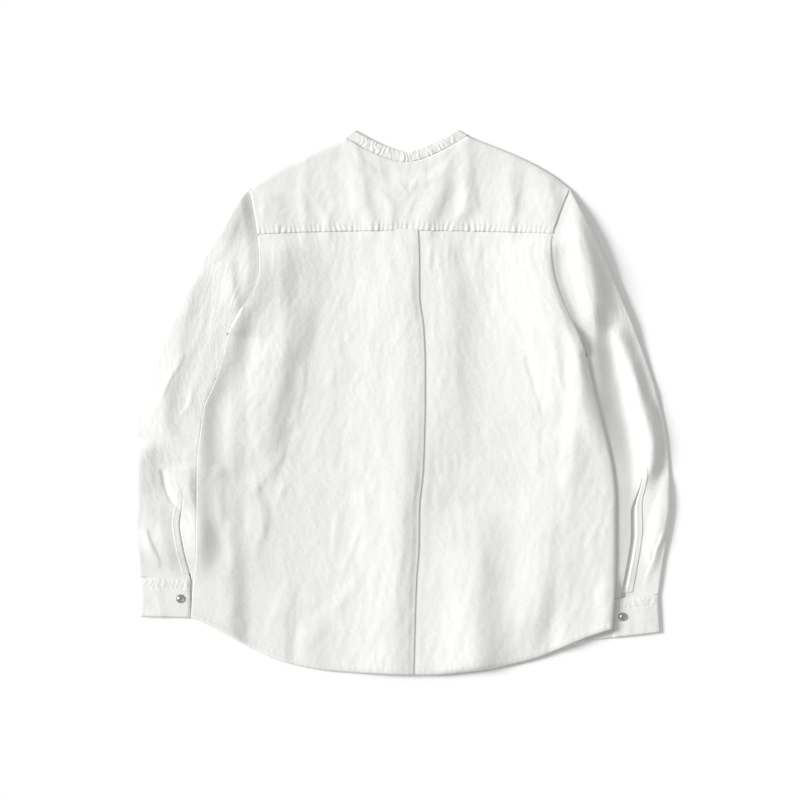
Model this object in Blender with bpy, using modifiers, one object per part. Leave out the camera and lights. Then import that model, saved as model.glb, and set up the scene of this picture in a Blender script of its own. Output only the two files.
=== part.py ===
"""Linen band collar shirt, laid flat on its front with the back panel uppermost.

Sizes are in millimetres and become metres when a mesh is made. X runs across the shirt,
Y from hem to neck, and Z up from the surface that the shirt lies on. Everything hangs on
the empty "shirt", which puts the middle of the laid-out shirt at the origin. "Left" and
"right" are the wearer's, which are also the -X and +X sides, because the shirt lies face
down.

Each cloth piece is one sheet of points with a Solidify modifier. The pieces are stacked as
a folded shirt is: sleeves lowest beside the body, then the fronts, then the back.
"""
from collections import namedtuple
import math

import bmesh
import bpy

MM = 0.001

# Cloth
CLOTH = 1.0                 # wall of one layer
CUFF_WALL = 1.2             # a cuff is two layers and a stiffener
GAP = 0.3                   # between pieces that meet
STEP = CLOTH + GAP          # from one layer's middle to the next
ARMHOLE_GAP = 0.9           # between sleeve and body along the armhole seam
ARMHOLE_LIFT = 0.1          # the sleeve's underside lies this much higher at the armhole
AIR = 1.6                   # loft of the back over the fronts

# Middle of the outline tables below
MIDDLE = (-0.96, 0.50)

# Body
CENTRE = 6.0                # X of the centre front and centre back
YOKE_SEAM = 240.0           # Y of the yoke seam at the centre
YOKE_SEAM_DROP = 4.5        # how much lower the seam is at the armholes
YOKE_ROWS = (0.0, 0.13, 0.38, 0.68, 0.92, 1.0)    # its rows of points, as shares of its depth
YOKE_NECK = (0.3, 0.7)      # shares of the yoke's width where the shoulders meet the neck
YOKE_END_POWER = 4          # how closely the armhole's curve keeps to the yoke's ends
YOKE_PUCKERS = 44           # small puckers along the yoke seam
PUCKER_RISE = 0.7
PUCKER_REACH = 14.0         # how far the puckers run up the yoke
EDGE_ROLL = 14.0            # width over which a folded side edge rolls down
HEM_ROLL = 0.35             # share of the full loft that is left at the hem
BACK_COLUMNS = (17, 15)     # columns of points left and right of the pleat
BACK_ROWS = 31
FRONT_COLUMNS = 7           # columns of points along the shoulder of a front
FRONT_ROWS = 21
FRONT_INSET = 1.5           # the fronts lie this far inside the back's outline

# Neck and collar
NECK_LEFT = (-79.0, 371.0)  # where the shoulder meets the neck seam
NECK_RIGHT = (90.0, 373.0)
TIP_LEFT = (-66.5, 380.2)   # the collar's folded ends beside the neck
TIP_RIGHT = (76.5, 380.8)
BACK_NECK_DROP = 36.0       # neck seam at the centre back, below the shoulder point
BACK_NECK_POWER = 1.6       # above 1 the neckline is round, higher is squarer
FRONT_NECK_DROP = 83.0
FRONT_NECK_POWER = 3.2
COLLAR_HEIGHT = 14.0
COLLAR_EDGE_POWER = 1.35    # roundness of the collar's free edge at the back
COLLAR_FOLD = 0.9           # how far the collar reaches out where it is folded
COLLAR_LOFT = 0.8           # extra height of the collar's back part over its front part
COLLAR_EASE = 20.0          # length over which the yoke rises towards the collar
COLLAR_PUCKERS = 17
COLLAR_PUCKER_RISE = 0.8
COLLAR_BACK_END = 0.95      # share of half the neck's width where the puckered part ends
COLLAR_FADE = 0.1           # share over which the puckers fade out there
COLLAR_FRONT_EASE = (0.25, 0.55)    # shares between which its front part settles from the bands
COLLAR_GAP = 0.6            # between the collar and the neck edges that it is sewn to
# Where the collar and the fronts share points, as shares of half the neck's width
NECK_SHARES = (1.0, 0.97, 0.92, 0.85, 0.76, 0.65, 0.52, 0.36)

# Front bands and studs
BAND_WIDTH = 30.0
BAND_EASE = 24.0            # width over which a front rises to its band
FRONT_STUDS = 6
FIRST_STUD = 22.0           # from the neck seam down to the first stud
LAST_STUD = 110.0           # from the last stud down to the hem
STUD_RADIUS = 6.0
FRONT_STUD_HEIGHT = 1.2

# Centre back pleat
PLEAT_OFFSET = 18.0         # X of the folded edge at the yoke seam, from the centre
PLEAT_WANDER = 10.0         # how far the folded edge bows out on its way down
PLEAT_DEPTH = 17.0
PLEAT_TURN = 0.9            # radius of each fold of the pleat
PLEAT_HEM_TURN = 0.68
PLEAT_SHORTENS = -190.0     # below this Y the folded layers grow shorter
PLEAT_SHORT = -310.0        # and below this one they stay so
PLEAT_HEM_DEPTH = 3.0
PLEAT_MARGIN = 2.0          # from the folds to the next column of points
PLEAT_EASE = (34.0, 20.0)   # widths over which the back eases to the pleat, left and right

# Sleeves and cuffs
SLEEVE_PRESSED = 2.4        # middle of the upper sleeve layer where the body lies on it
SLEEVE_AIR = 4.0            # loft of the sleeve where nothing lies on it
SLEEVE_AIR_AT_CUFF = 0.45   # share of that loft left where the sleeve meets the cuff
SLEEVE_ROWS = 25
TURN_SHARE = (0.057, 0.012)  # share of a sleeve's width in each turned edge: armhole, below
ARMHOLE_END = 0.08          # share of a sleeve's length over which it settles below the armhole
BOW_END = 0.3               # share of its length over which its rows straighten,
BOW_POWER = 6.0             # and how much sooner they do so towards the underarm
SLEEVE_OUT = 30.0           # how quickly the first rows move clear of the armhole,
SLEEVE_OUT_END = 2.0        # and how quickly that ends below the underarm
SLIT_SPREAD = 0.08          # share of its length over which the slit opens
SLIT_END = 0.985            # the slit's binding ends at this share of the length
FRONT_OVER_SLEEVE = 3.9     # middle of the front where it lies on a sleeve
COVER_INSET = 9.0           # the body is fully raised to this far inside the sleeve's edge
COVER_EASE = 26.0           # width over which it settles beyond that
UNDERARM_EASE = 40.0        # the same along the armhole
CUFF_OVERLAP = 30.0
CUFF_LAP_RISE = 1.5         # extra height of the body over the lapped end of a cuff
CUFF_LAP_X = (262.0, 284.0)     # that rise grows across these places,
CUFF_LAP_Y = (-345.0, -333.0, -262.0, -248.0)   # and up and down again along these
CUFF_CLEAR = 0.6            # between a cuff's underside and its under end
CUFF_LAP_SETTLE = (4.0, 14.0)   # inside the under end, where the lap settles to the crown
CUFF_CROWN = 0.4            # loft of a cuff's upper side
CUFF_TURN = 4.0             # width over which it rounds down to its outer fold
STUD_HEIGHT = 2.4
BINDING_WIDTH = 9.0
BINDING_ABOVE = 0.02        # it starts this share of the length above the slit
BINDING_RISE = 0.2          # the binding lies this much further above the sleeve

# The laid-out shape: X of the body's edge at each height Y, from the yoke seam down.
Edge = namedtuple("Edge", "y x")
LEFT_EDGE = (
    Edge(300.0, -213.5), Edge(265.0, -207.0), Edge(236.0, -202.5), Edge(210.0, -199.5),
    Edge(185.0, -199.0), Edge(155.0, -206.0), Edge(128.0, -221.0), Edge(94.5, -241.5),
    Edge(58.0, -250.5), Edge(22.0, -262.5), Edge(-8.0, -275.5), Edge(-48.0, -281.5),
    Edge(-90.0, -286.0), Edge(-206.0, -286.5), Edge(-258.0, -291.5), Edge(-300.0, -294.5),
)
RIGHT_EDGE = (
    Edge(299.0, 234.5), Edge(267.0, 221.0), Edge(239.0, 211.0), Edge(214.0, 206.5),
    Edge(186.0, 208.5), Edge(155.0, 217.0), Edge(110.0, 237.0), Edge(66.5, 254.0),
    Edge(18.0, 265.5), Edge(-24.0, 276.5), Edge(-62.0, 286.5), Edge(-95.0, 293.5),
    Edge(-137.0, 297.5), Edge(-220.0, 297.5), Edge(-270.0, 296.0), Edge(-316.0, 292.5),
)
# Y of the hem at each X across it, and of the shoulders from sleeve to neck.
HEM = (
    Edge(-300.0, -294.5), Edge(-307.0, -278.0), Edge(-322.0, -249.0), Edge(-346.0, -206.5),
    Edge(-365.5, -156.0), Edge(-375.5, -99.0), Edge(-380.5, -3.5), Edge(-381.0, 43.0),
    Edge(-377.0, 86.0), Edge(-369.0, 139.5), Edge(-356.5, 190.0), Edge(-342.0, 225.0),
    Edge(-328.5, 257.0), Edge(-316.0, 292.5),
)
LEFT_SHOULDER = (
    Edge(300.0, -213.5), Edge(323.5, -178.5), Edge(345.5, -135.0), Edge(371.0, -79.0),
)
RIGHT_SHOULDER = (
    Edge(373.0, 90.0), Edge(341.5, 167.0), Edge(317.5, 210.5), Edge(299.0, 234.5),
)

# Each sleeve's folded edges from the body to the cuff, as X, Y pairs.
Sleeve = namedtuple("Sleeve", "side outer inner slit_start slit gap")
LEFT_SLEEVE = Sleeve(
    side=-1,
    outer=((-213.5, 300.0), (-227.5, 285.5), (-249.0, 250.0), (-278.0, 202.5),
           (-313.5, 131.0), (-335.5, 84.5), (-353.0, 34.0), (-363.5, 3.5),
           (-372.0, -31.5), (-376.0, -86.0), (-377.0, -139.5), (-374.5, -182.5),
           (-368.5, -244.5)),
    inner=((-241.5, 94.5), (-243.0, 45.5), (-247.0, -24.5), (-248.5, -89.0),
           (-248.5, -164.5), (-246.0, -220.5), (-245.0, -247.0)),
    slit_start=0.75,
    slit=((0.0, 0.5), (0.75, 0.55), (0.84, 0.50), (0.9, 0.52), (1.0, 0.58)), gap=0.035)
RIGHT_SLEEVE = Sleeve(
    side=1,
    outer=((234.5, 299.0), (250.5, 269.5), (264.5, 241.5), (277.0, 213.5),
           (289.5, 185.5), (308.0, 143.5), (323.0, 108.5), (336.0, 73.5),
           (348.0, 38.5), (358.5, 3.5), (366.5, -31.5), (371.5, -66.5),
           (374.0, -108.5), (375.0, -159.0), (370.5, -190.0), (364.5, -226.0),
           (358.5, -268.5)),
    inner=((254.0, 66.5), (252.5, 3.5), (248.5, -66.5), (244.5, -136.5),
           (240.0, -206.5), (236.5, -282.5)),
    slit_start=0.68,
    slit=((0.0, 0.5), (0.6, 0.3), (0.68, 0.29), (0.75, 0.355), (0.85, 0.35), (1.0, 0.385)),
    gap=0.11)

# Cuffs: how far the lapped end and the stud lie from the outer fold, how far down the stud
# lies, the cuff's height, and how much it leans outwards for each millimetre down.
Cuff = namedtuple("Cuff", "sleeve lap_end stud_across stud_down height lean")
LEFT_CUFF = Cuff(LEFT_SLEEVE, lap_end=72.5, stud_across=58.0, stud_down=28.5, height=54.6,
                 lean=0.0)
RIGHT_CUFF = Cuff(RIGHT_SLEEVE, lap_end=67.0, stud_across=52.5, stud_down=25.0, height=52.4,
                  lean=0.05)

# Folds: each is a soft ridge along a crest from (x0, y0) near the neck to (x1, y1) near the
# hem, bowed sideways to +X by bow at its middle. It falls away over left and right.
Fold = namedtuple("Fold", "x0 y0 x1 y1 bow rise left right")
BACK_FOLDS = (
    Fold(-183.0, 225.0, -196.0, -95.0, 8.0, 6.5, 36.0, 17.0),
    Fold(-2.0, 232.0, -6.0, -120.0, 0.0, 2.6, 13.0, 20.0),
    Fold(-6.0, -60.0, -8.0, -385.0, 4.0, 4.5, 28.0, 17.0),
    Fold(55.0, 236.0, 94.0, 10.0, 6.0, 4.2, 20.0, 13.0),
    Fold(186.0, 236.0, 206.0, -80.0, 4.0, 5.5, 48.0, 24.0),
    Fold(222.0, -40.0, 180.0, -320.0, 4.0, 5.5, 34.0, 15.0),
    Fold(281.0, -110.0, 279.0, -335.0, 2.0, 3.2, 22.0, 9.0),
    Fold(106.0, -150.0, 120.0, -385.0, 0.0, 5.5, 28.0, 14.0),
    Fold(-208.0, -70.0, -203.0, -235.0, 2.0, 3.6, 24.0, 14.0),
    Fold(-140.0, -270.0, -139.0, -385.0, 0.0, 2.6, 9.0, 22.0),
    Fold(-92.0, 165.0, -102.0, 5.0, -3.0, 2.2, 15.0, 12.0),
    Fold(-60.0, -150.0, -72.0, -330.0, 6.0, 2.4, 20.0, 16.0),
)
YOKE_FOLDS = (
    Fold(-74.0, 362.0, -62.0, 245.0, 4.0, 3.6, 24.0, 13.0),
    Fold(-30.0, 330.0, -14.0, 240.0, 3.0, 1.8, 10.0, 8.0),
    Fold(80.0, 335.0, 88.0, 236.0, 0.0, 3.0, 14.0, 9.0),
    Fold(160.0, 338.0, 158.0, 236.0, 0.0, 2.6, 18.0, 5.0),
    Fold(-145.0, 315.0, -141.0, 240.0, 0.0, 1.8, 9.0, 14.0),
)
LEFT_SLEEVE_FOLDS = (
    Fold(-240.0, 262.0, -327.0, 50.0, 10.0, 4.0, 22.0, 24.0),
    Fold(-232.0, 215.0, -262.0, 120.0, 0.0, 3.4, 12.0, 10.0),
    Fold(-283.0, 150.0, -299.0, -40.0, 4.0, 3.4, 18.0, 14.0),
    Fold(-363.0, -30.0, -356.0, -150.0, 3.0, 4.6, 12.0, 20.0),
    Fold(-296.0, -50.0, -296.0, -160.0, -3.0, 6.0, 26.0, 8.0),
    Fold(-348.0, -165.0, -336.0, -250.0, 0.0, 2.6, 10.0, 7.0),
)
RIGHT_SLEEVE_FOLDS = (
    Fold(240.0, 286.0, 262.0, 62.0, 14.0, 7.0, 15.0, 15.0),
    Fold(296.0, 130.0, 349.0, -60.0, 5.0, 7.0, 20.0, 13.0),
    Fold(352.0, -30.0, 313.0, -160.0, 5.0, 6.0, 18.0, 13.0),
    Fold(362.0, -70.0, 354.0, -175.0, 3.0, 3.4, 10.0, 9.0),
    Fold(352.0, -175.0, 340.0, -262.0, 0.0, 2.6, 9.0, 8.0),
)

# Profiles of the press studs' caps, as shares of their radius and height
Ring = namedtuple("Ring", "radius height")
CUFF_STUD = (
    Ring(0.0, 1.0), Ring(0.22, 0.97), Ring(0.45, 0.80), Ring(0.6, 0.58), Ring(0.74, 0.70),
    Ring(0.9, 0.66), Ring(1.0, 0.4), Ring(0.94, 0.0), Ring(0.0, 0.0),
)
FRONT_STUD = (
    Ring(0.0, 1.0), Ring(0.92, 1.0), Ring(1.0, 0.6), Ring(0.9, 0.12), Ring(0.7, 0.0),
    Ring(0.0, 0.0),
)

# Finishes: colour, roughness, metallic
LINEN = ("linen", (0.86, 0.85, 0.82), 0.9, 0.0)
LINEN_INSIDE = ("linen_inside", (0.80, 0.79, 0.76), 0.9, 0.0)
STUD_METAL = ("stud_metal", (0.55, 0.54, 0.51), 0.3, 1.0)


def smoothstep(value):
    """Ease from 0 to 1 as value goes from 0 to 1."""
    value = min(max(value, 0.0), 1.0)
    return value * value * (3.0 - 2.0 * value)


def lerp(start, end, t):
    return start + (end - start) * t


def spaced(start, end, count):
    """Evenly spaced values from start to end."""
    return [lerp(start, end, k / (count - 1)) for k in range(count)]


def through(rows, at, key, value):
    """The value at a key, on a smooth curve through the rows of a table."""
    rows = sorted(rows, key=key)
    keys = [key(row) for row in rows]
    values = [value(row) for row in rows]
    if at <= keys[0]:
        return values[0]
    if at >= keys[-1]:
        return values[-1]
    i = next(k for k in range(len(keys) - 1) if at <= keys[k + 1])
    slopes = [(values[k + 1] - values[k]) / (keys[k + 1] - keys[k]) for k in range(len(keys) - 1)]

    def tangent(k):
        if k in (0, len(keys) - 1):
            return slopes[min(k, len(slopes) - 1)]
        if slopes[k - 1] * slopes[k] <= 0.0:
            return 0.0
        return 2.0 * slopes[k - 1] * slopes[k] / (slopes[k - 1] + slopes[k])

    width = keys[i + 1] - keys[i]
    t = (at - keys[i]) / width
    return ((2 * t**3 - 3 * t**2 + 1) * values[i] + (t**3 - 2 * t**2 + t) * width * tangent(i)
            + (3 * t**2 - 2 * t**3) * values[i + 1] + (t**3 - t**2) * width * tangent(i + 1))


def edge_x(rows, y):
    """X of a side edge at a height."""
    return through(rows, y, lambda row: row.y, lambda row: row.x)


def edge_y(rows, x):
    """Y of the hem or a shoulder at a place across it."""
    return through(rows, x, lambda row: row.x, lambda row: row.y)


def along(points, t):
    """The point at fraction t of the length of a smooth line through the points."""
    lengths = [0.0]
    for a, b in zip(points, points[1:]):
        lengths.append(lengths[-1] + math.hypot(b[0] - a[0], b[1] - a[1]))
    rows = [(length / lengths[-1], point) for length, point in zip(lengths, points)]
    return tuple(through(rows, t, lambda row: row[0], lambda row, k=k: row[1][k]) for k in (0, 1))


def fold_height(folds, x, y):
    """How much the folds raise the cloth at a point."""
    total = 0.0
    for fold in folds:
        run_x, run_y = fold.x1 - fold.x0, fold.y1 - fold.y0
        length = math.hypot(run_x, run_y)
        t = ((x - fold.x0) * run_x + (y - fold.y0) * run_y) / length**2
        if not 0.0 < t < 1.0:
            continue
        sideways = ((y - fold.y0) * run_x - (x - fold.x0) * run_y) / length
        sideways -= fold.bow * 4.0 * t * (1.0 - t)
        reach = fold.right if sideways > 0.0 else fold.left
        ends = smoothstep(t * 4.0) * smoothstep((1.0 - t) * 4.0)
        total += fold.rise * ends * math.exp(-(sideways / reach) ** 2)
    return total


# Heights of the layers

def sleeve_below(x, y):
    """1 where a sleeve lies under the body, easing to 0 beside it."""
    cover = 0.0
    for sleeve in (LEFT_SLEEVE, RIGHT_SLEEVE):
        underarm = sleeve.inner[0]
        rows = [Edge(point[1], point[0]) for point in sleeve.inner]
        inside = (x - edge_x(rows, y)) * -sleeve.side
        beside = 1.0 - smoothstep((inside - COVER_INSET) / COVER_EASE)
        below = 1.0 - smoothstep((y - underarm[1]) / UNDERARM_EASE - 0.5)
        cover = max(cover, beside * below)
    return cover


def cuff_lap_below(x, y):
    """1 over the lapped end of the right cuff, which reaches under the body's edge."""
    start, full = CUFF_LAP_X
    low, low_full, high_full, high = CUFF_LAP_Y
    down = smoothstep((y - low) / (low_full - low))
    up = smoothstep((high - y) / (high - high_full))
    return smoothstep((x - start) / (full - start)) * down * up


def front_height(x, y, band_level):
    """Middle of a front at a point; it rises to meet its band, and over the sleeves."""
    to_band = 1.0 - smoothstep((abs(x - CENTRE) - BAND_WIDTH / 2) / BAND_EASE)
    height = CLOTH / 2 + (band_level - CLOTH / 2) * to_band
    height += (FRONT_OVER_SLEEVE - CLOTH / 2) * sleeve_below(x, y)
    return height + CUFF_LAP_RISE * cuff_lap_below(x, y)


OUTER_BAND_LEVEL = FRONT_STUD_HEIGHT + GAP + CLOTH / 2
INNER_BAND_LEVEL = OUTER_BAND_LEVEL + STEP


def back_rest_height(x, y):
    """Lowest height of the middle of the back or the yoke above what lies under it."""
    neck = 1.0 - smoothstep((y - front_neck_y(x) - COLLAR_HEIGHT) / COLLAR_EASE)
    front = front_height(x, y, INNER_BAND_LEVEL)
    band = front_height(x, y, CLOTH / 2)
    return lerp(band, front, neck) + STEP


# Outlines

def neck_y(x, left, right, drop, power):
    """Y of a neckline between two points, at the place x across it."""
    middle = (left[0] + right[0]) / 2
    share = (x - middle) / (right[0] - left[0]) * 2
    straight = lerp(left[1], right[1], (share + 1.0) / 2)
    return straight - drop * (1.0 - min(abs(share), 1.0) ** power)


def front_neck_y(x):
    return neck_y(x, NECK_LEFT, NECK_RIGHT, FRONT_NECK_DROP, FRONT_NECK_POWER)


def back_top_y(x):
    """The yoke's upper edge: shoulder, neck seam, shoulder."""
    if x < NECK_LEFT[0]:
        return edge_y(LEFT_SHOULDER, x)
    if x > NECK_RIGHT[0]:
        return edge_y(RIGHT_SHOULDER, x)
    return neck_y(x, NECK_LEFT, NECK_RIGHT, BACK_NECK_DROP, BACK_NECK_POWER)


def front_top_y(x):
    """A front's upper edge: shoulder, then neck seam."""
    if x < NECK_LEFT[0]:
        return edge_y(LEFT_SHOULDER, x)
    if x > NECK_RIGHT[0]:
        return edge_y(RIGHT_SHOULDER, x)
    return front_neck_y(x)


def yoke_seam_y(x):
    """Y of the yoke seam, which sags a little towards the armholes."""
    half = (edge_x(RIGHT_EDGE, YOKE_SEAM) - edge_x(LEFT_EDGE, YOKE_SEAM)) / 2
    return YOKE_SEAM - YOKE_SEAM_DROP * ((x - CENTRE) / half) ** 2


def seam_end(edge):
    """X and Y where the yoke seam meets the armhole on a side."""
    y = YOKE_SEAM - YOKE_SEAM_DROP
    return edge_x(edge, y), y


def rolled(distance):
    """Share of the full height at a distance in from an edge that rolls down."""
    inward = min(max(distance / EDGE_ROLL, 0.0), 1.0)
    return math.sqrt(1.0 - (1.0 - inward) ** 2)


# Meshes

def cloth_sheet(name, rows, wall, finish, joined=()):
    """A sheet of cloth through rows of points, thickened to its wall.

    The last point of each row whose number is in joined is also its first point, which
    closes the sheet to a tube there.
    """
    mesh = bpy.data.meshes.new(name)
    bm = bmesh.new()
    grid = []
    for number, row in enumerate(rows):
        verts = [bm.verts.new([value * MM for value in point]) for point in row]
        if number in joined:
            bm.verts.remove(verts[-1])
            verts[-1] = verts[0]
        grid.append(verts)
    for lower, upper in zip(grid, grid[1:]):
        for k in range(len(lower) - 1):
            corners = []
            for vert in (lower[k], lower[k + 1], upper[k + 1], upper[k]):
                if vert not in corners:
                    corners.append(vert)
            bm.faces.new(corners)
    bmesh.ops.recalc_face_normals(bm, faces=bm.faces)
    bm.to_mesh(mesh)
    bm.free()
    sheet = add_object(name, mesh, finish)
    solidify = sheet.modifiers.new("Cloth wall", "SOLIDIFY")
    solidify.thickness = wall * MM
    solidify.offset = 0.0
    solidify.use_even_offset = True
    return sheet


def add_object(name, mesh, finish):
    """An object in the shirt's collection, with its own material, hung on the shirt's empty."""
    mesh.shade_smooth()
    thing = bpy.data.objects.new(name, mesh)
    bpy.data.collections["band_collar_shirt"].objects.link(thing)
    thing.parent = bpy.data.objects["shirt"]
    label, colour, roughness, metallic = finish
    material = bpy.data.materials.new(name + "_" + label)
    material.use_nodes = True
    shader = material.node_tree.nodes["Principled BSDF"]
    shader.inputs["Base Color"].default_value = (*colour, 1.0)
    shader.inputs["Roughness"].default_value = roughness
    shader.inputs["Metallic"].default_value = metallic
    mesh.materials.append(material)
    return thing


def back_edges(v):
    """X of the back's two sides at fraction v of the way down from the yoke seam."""
    left_y = lerp(seam_end(LEFT_EDGE)[1], HEM[0].y, v)
    right_y = lerp(seam_end(RIGHT_EDGE)[1], HEM[-1].y, v)
    return (edge_x(LEFT_EDGE, left_y), left_y), (edge_x(RIGHT_EDGE, right_y), right_y)


def back_point(v, x):
    """The back panel's point at fraction v down from the yoke seam, at the place x."""
    (left, left_y), (right, right_y) = back_edges(v)
    u = (x - left) / (right - left)
    top_x = lerp(seam_end(LEFT_EDGE)[0], seam_end(RIGHT_EDGE)[0], u)
    hem_x = lerp(HEM[0].x, HEM[-1].x, u)
    y = lerp(yoke_seam_y(top_x) - GAP, edge_y(HEM, hem_x), v)
    roll = 1.0
    if left_y < LEFT_SLEEVE.inner[0][1]:
        roll = min(roll, rolled(x - left))
    if right_y < RIGHT_SLEEVE.inner[0][1]:
        roll = min(roll, rolled(right - x))
    to_hem = (1.0 - v) * (YOKE_SEAM - HEM[0].y)
    roll = min(roll, lerp(HEM_ROLL, 1.0, rolled(to_hem)))
    z = back_rest_height(x, y) + (AIR + fold_height(BACK_FOLDS, x, y)) * roll
    return x, y, z


def pleat_edge_x(v):
    """X of the pleat's folded edge, which wanders a little on its way down."""
    return CENTRE + PLEAT_OFFSET + PLEAT_WANDER * math.sin(math.pi * v) ** 2


def pleat_points(v):
    """Offsets in X and height that turn a row of the back under itself and out again.

    From the folded edge the middle layer runs back under the upper one, and the lowest layer
    sets out again under both. Towards the hem the folded layers grow short and flat.
    """
    y = back_point(v, CENTRE)[1]
    full = smoothstep((y - PLEAT_SHORT) / (PLEAT_SHORTENS - PLEAT_SHORT))
    depth = lerp(PLEAT_HEM_DEPTH, PLEAT_DEPTH, full)
    turn = lerp(PLEAT_HEM_TURN, PLEAT_TURN, full)
    return (
        (-turn, 4 * turn), (0.0, 3 * turn), (-turn, 2 * turn),
        (-depth, 2 * turn), (-depth - turn, turn), (-depth, 0.0),
    )


def make_back():
    """The back panel, from the yoke seam to the shirt-tail hem, with its centre pleat."""
    ease_left, ease_right = PLEAT_EASE
    rows = []
    for j in range(BACK_ROWS):
        v = j / (BACK_ROWS - 1)
        (left, _), (right, _) = back_edges(v)
        fold_x = pleat_edge_x(v)
        pleat = pleat_points(v)
        base = back_point(v, fold_x)[2]
        start, lift = fold_x + pleat[0][0] - PLEAT_MARGIN, pleat[0][1]
        row = []
        for x in spaced(left, start, BACK_COLUMNS[0]):
            px, py, pz = back_point(v, x)
            row.append((px, py, pz + lift * smoothstep((x - start) / ease_left + 1.0)))
        for across, rise in pleat:
            px, py, _ = back_point(v, fold_x + across)
            row.append((px, py, base + rise))
        for x in spaced(fold_x + PLEAT_MARGIN, right, BACK_COLUMNS[1]):
            px, py, pz = back_point(v, x)
            settle = smoothstep((x - fold_x - PLEAT_MARGIN) / ease_right)
            row.append((px, py, lerp(base, pz, settle)))
        rows.append(row)
    return cloth_sheet("back", rows, CLOTH, LINEN)


def make_yoke():
    """The back yoke, from shoulder to shoulder, puckered along its lower seam."""
    columns = 2 * YOKE_PUCKERS
    neck_left, neck_right = (round(share * columns) / columns for share in YOKE_NECK)
    corners = ((0.0, LEFT_SHOULDER[0].x), (neck_left, NECK_LEFT[0]),
               (neck_right, NECK_RIGHT[0]), (1.0, RIGHT_SHOULDER[-1].x))
    rows = []
    for v in YOKE_ROWS:
        row = []
        for i in range(columns + 1):
            u = i / columns
            low_x = lerp(seam_end(LEFT_EDGE)[0], seam_end(RIGHT_EDGE)[0], u)
            high_x = through(corners, u, lambda row: row[0], lambda row: row[1])
            low, high = yoke_seam_y(low_x), back_top_y(high_x)
            x, y = lerp(low_x, high_x, v), lerp(low, high, v)
            for edge, share in ((LEFT_EDGE, 1.0 - u), (RIGHT_EDGE, u)):
                end_x, end_y = seam_end(edge)
                armhole = edge_x(edge, lerp(end_y, edge[0].y, v))
                x += share**YOKE_END_POWER * (armhole - lerp(end_x, edge[0].x, v))
            roll = rolled(high - y)
            pucker = PUCKER_RISE * (i % 2) * (1.0 - smoothstep((y - low) / PUCKER_REACH))
            z = back_rest_height(x, y) + (AIR + fold_height(YOKE_FOLDS, x, y)) * roll
            row.append((x, y, z + pucker))
        rows.append(row)
    return cloth_sheet("yoke", rows, CLOTH, LINEN)


def make_front(name, side, band_level):
    """One front, from its side seam to its band. It lies flat on the surface."""
    edge = LEFT_EDGE if side < 0 else RIGHT_EDGE
    underarm = (LEFT_SLEEVE if side < 0 else RIGHT_SLEEVE).inner[0]
    shoulder, hem_side = edge[0], HEM[0] if side < 0 else HEM[-1]
    centre_x = CENTRE + side * (BAND_WIDTH / 2 + GAP)
    neck = [collar_section(c * side, True)[0][0] for c in neck_steps(centre_x)]
    tops = spaced(shoulder.x, neck[0], FRONT_COLUMNS + 1)[:-1] + neck
    rows = []
    for v in spaced(0.0, 1.0, FRONT_ROWS):
        side_y = lerp(shoulder.y, hem_side.y + FRONT_INSET, v)
        inset = FRONT_INSET * smoothstep((underarm[1] - side_y) / UNDERARM_EASE)
        side_x = edge_x(edge, side_y) - side * inset
        row = []
        for top_x in tops:
            u = (top_x - shoulder.x) / (centre_x - shoulder.x)
            x = lerp(side_x, centre_x, u)
            hem_x = lerp(hem_side.x, centre_x, u)
            y = lerp(front_top_y(top_x), edge_y(HEM, hem_x) + FRONT_INSET, v)
            row.append((x, y, front_height(x, y, band_level)))
        rows.append(row)
    return cloth_sheet(name, rows, CLOTH, LINEN_INSIDE)


def neck_steps(centre_x):
    """Where a front and the collar have points along the front neck, from 1 to the band."""
    middle, half = (NECK_RIGHT[0] + NECK_LEFT[0]) / 2, (NECK_RIGHT[0] - NECK_LEFT[0]) / 2
    return [*NECK_SHARES, abs(centre_x - middle) / half]


def make_front_band(name, level):
    """A strip down the centre front, from the neck seam to the hem."""
    rows = []
    for v in spaced(0.0, 1.0, 13):
        row = []
        for x in spaced(CENTRE - BAND_WIDTH / 2, CENTRE + BAND_WIDTH / 2, 4):
            y = lerp(front_neck_y(x) - 2 * FRONT_INSET, edge_y(HEM, x) + FRONT_INSET, v)
            row.append((x, y, level))
        rows.append(row)
    return cloth_sheet(name, rows, CLOTH, LINEN_INSIDE)


def collar_section(c, front):
    """The seam edge and the free edge of the collar at c, from -1 at the left tip to 1."""
    drop = FRONT_NECK_DROP if front else BACK_NECK_DROP
    power = FRONT_NECK_POWER if front else BACK_NECK_POWER
    seam_x = lerp(NECK_LEFT[0], NECK_RIGHT[0], (c + 1.0) / 2)
    free_x = lerp(TIP_LEFT[0], TIP_RIGHT[0], (c + 1.0) / 2)
    tips_y = lerp(TIP_LEFT[1], TIP_RIGHT[1], (c + 1.0) / 2)
    free_drop = drop - COLLAR_HEIGHT + tips_y - lerp(NECK_LEFT[1], NECK_RIGHT[1], (c + 1.0) / 2)
    seam_y = neck_y(seam_x, NECK_LEFT, NECK_RIGHT, drop, power)
    free_power = power if front else COLLAR_EDGE_POWER
    free_y = tips_y - free_drop * (1.0 - abs(c) ** free_power)
    return (seam_x, seam_y), (free_x, free_y)


def collar_row(c, front, z, push=0.0):
    """Points across the collar strip from its seam edge to its free edge."""
    (sx, sy), (fx, fy) = collar_section(c, front)
    length = math.hypot(fx - sx, fy - sy)
    ox, oy = (fx - sx) / length, (fy - sy) / length
    sx, sy = sx + ox * COLLAR_GAP, sy + oy * COLLAR_GAP
    row = []
    for k in range(3):
        x, y = lerp(sx, fx, k / 2), lerp(sy, fy, k / 2)
        row.append((x + math.copysign(push, c) * oy, y + push * abs(ox), z))
    return row


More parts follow.
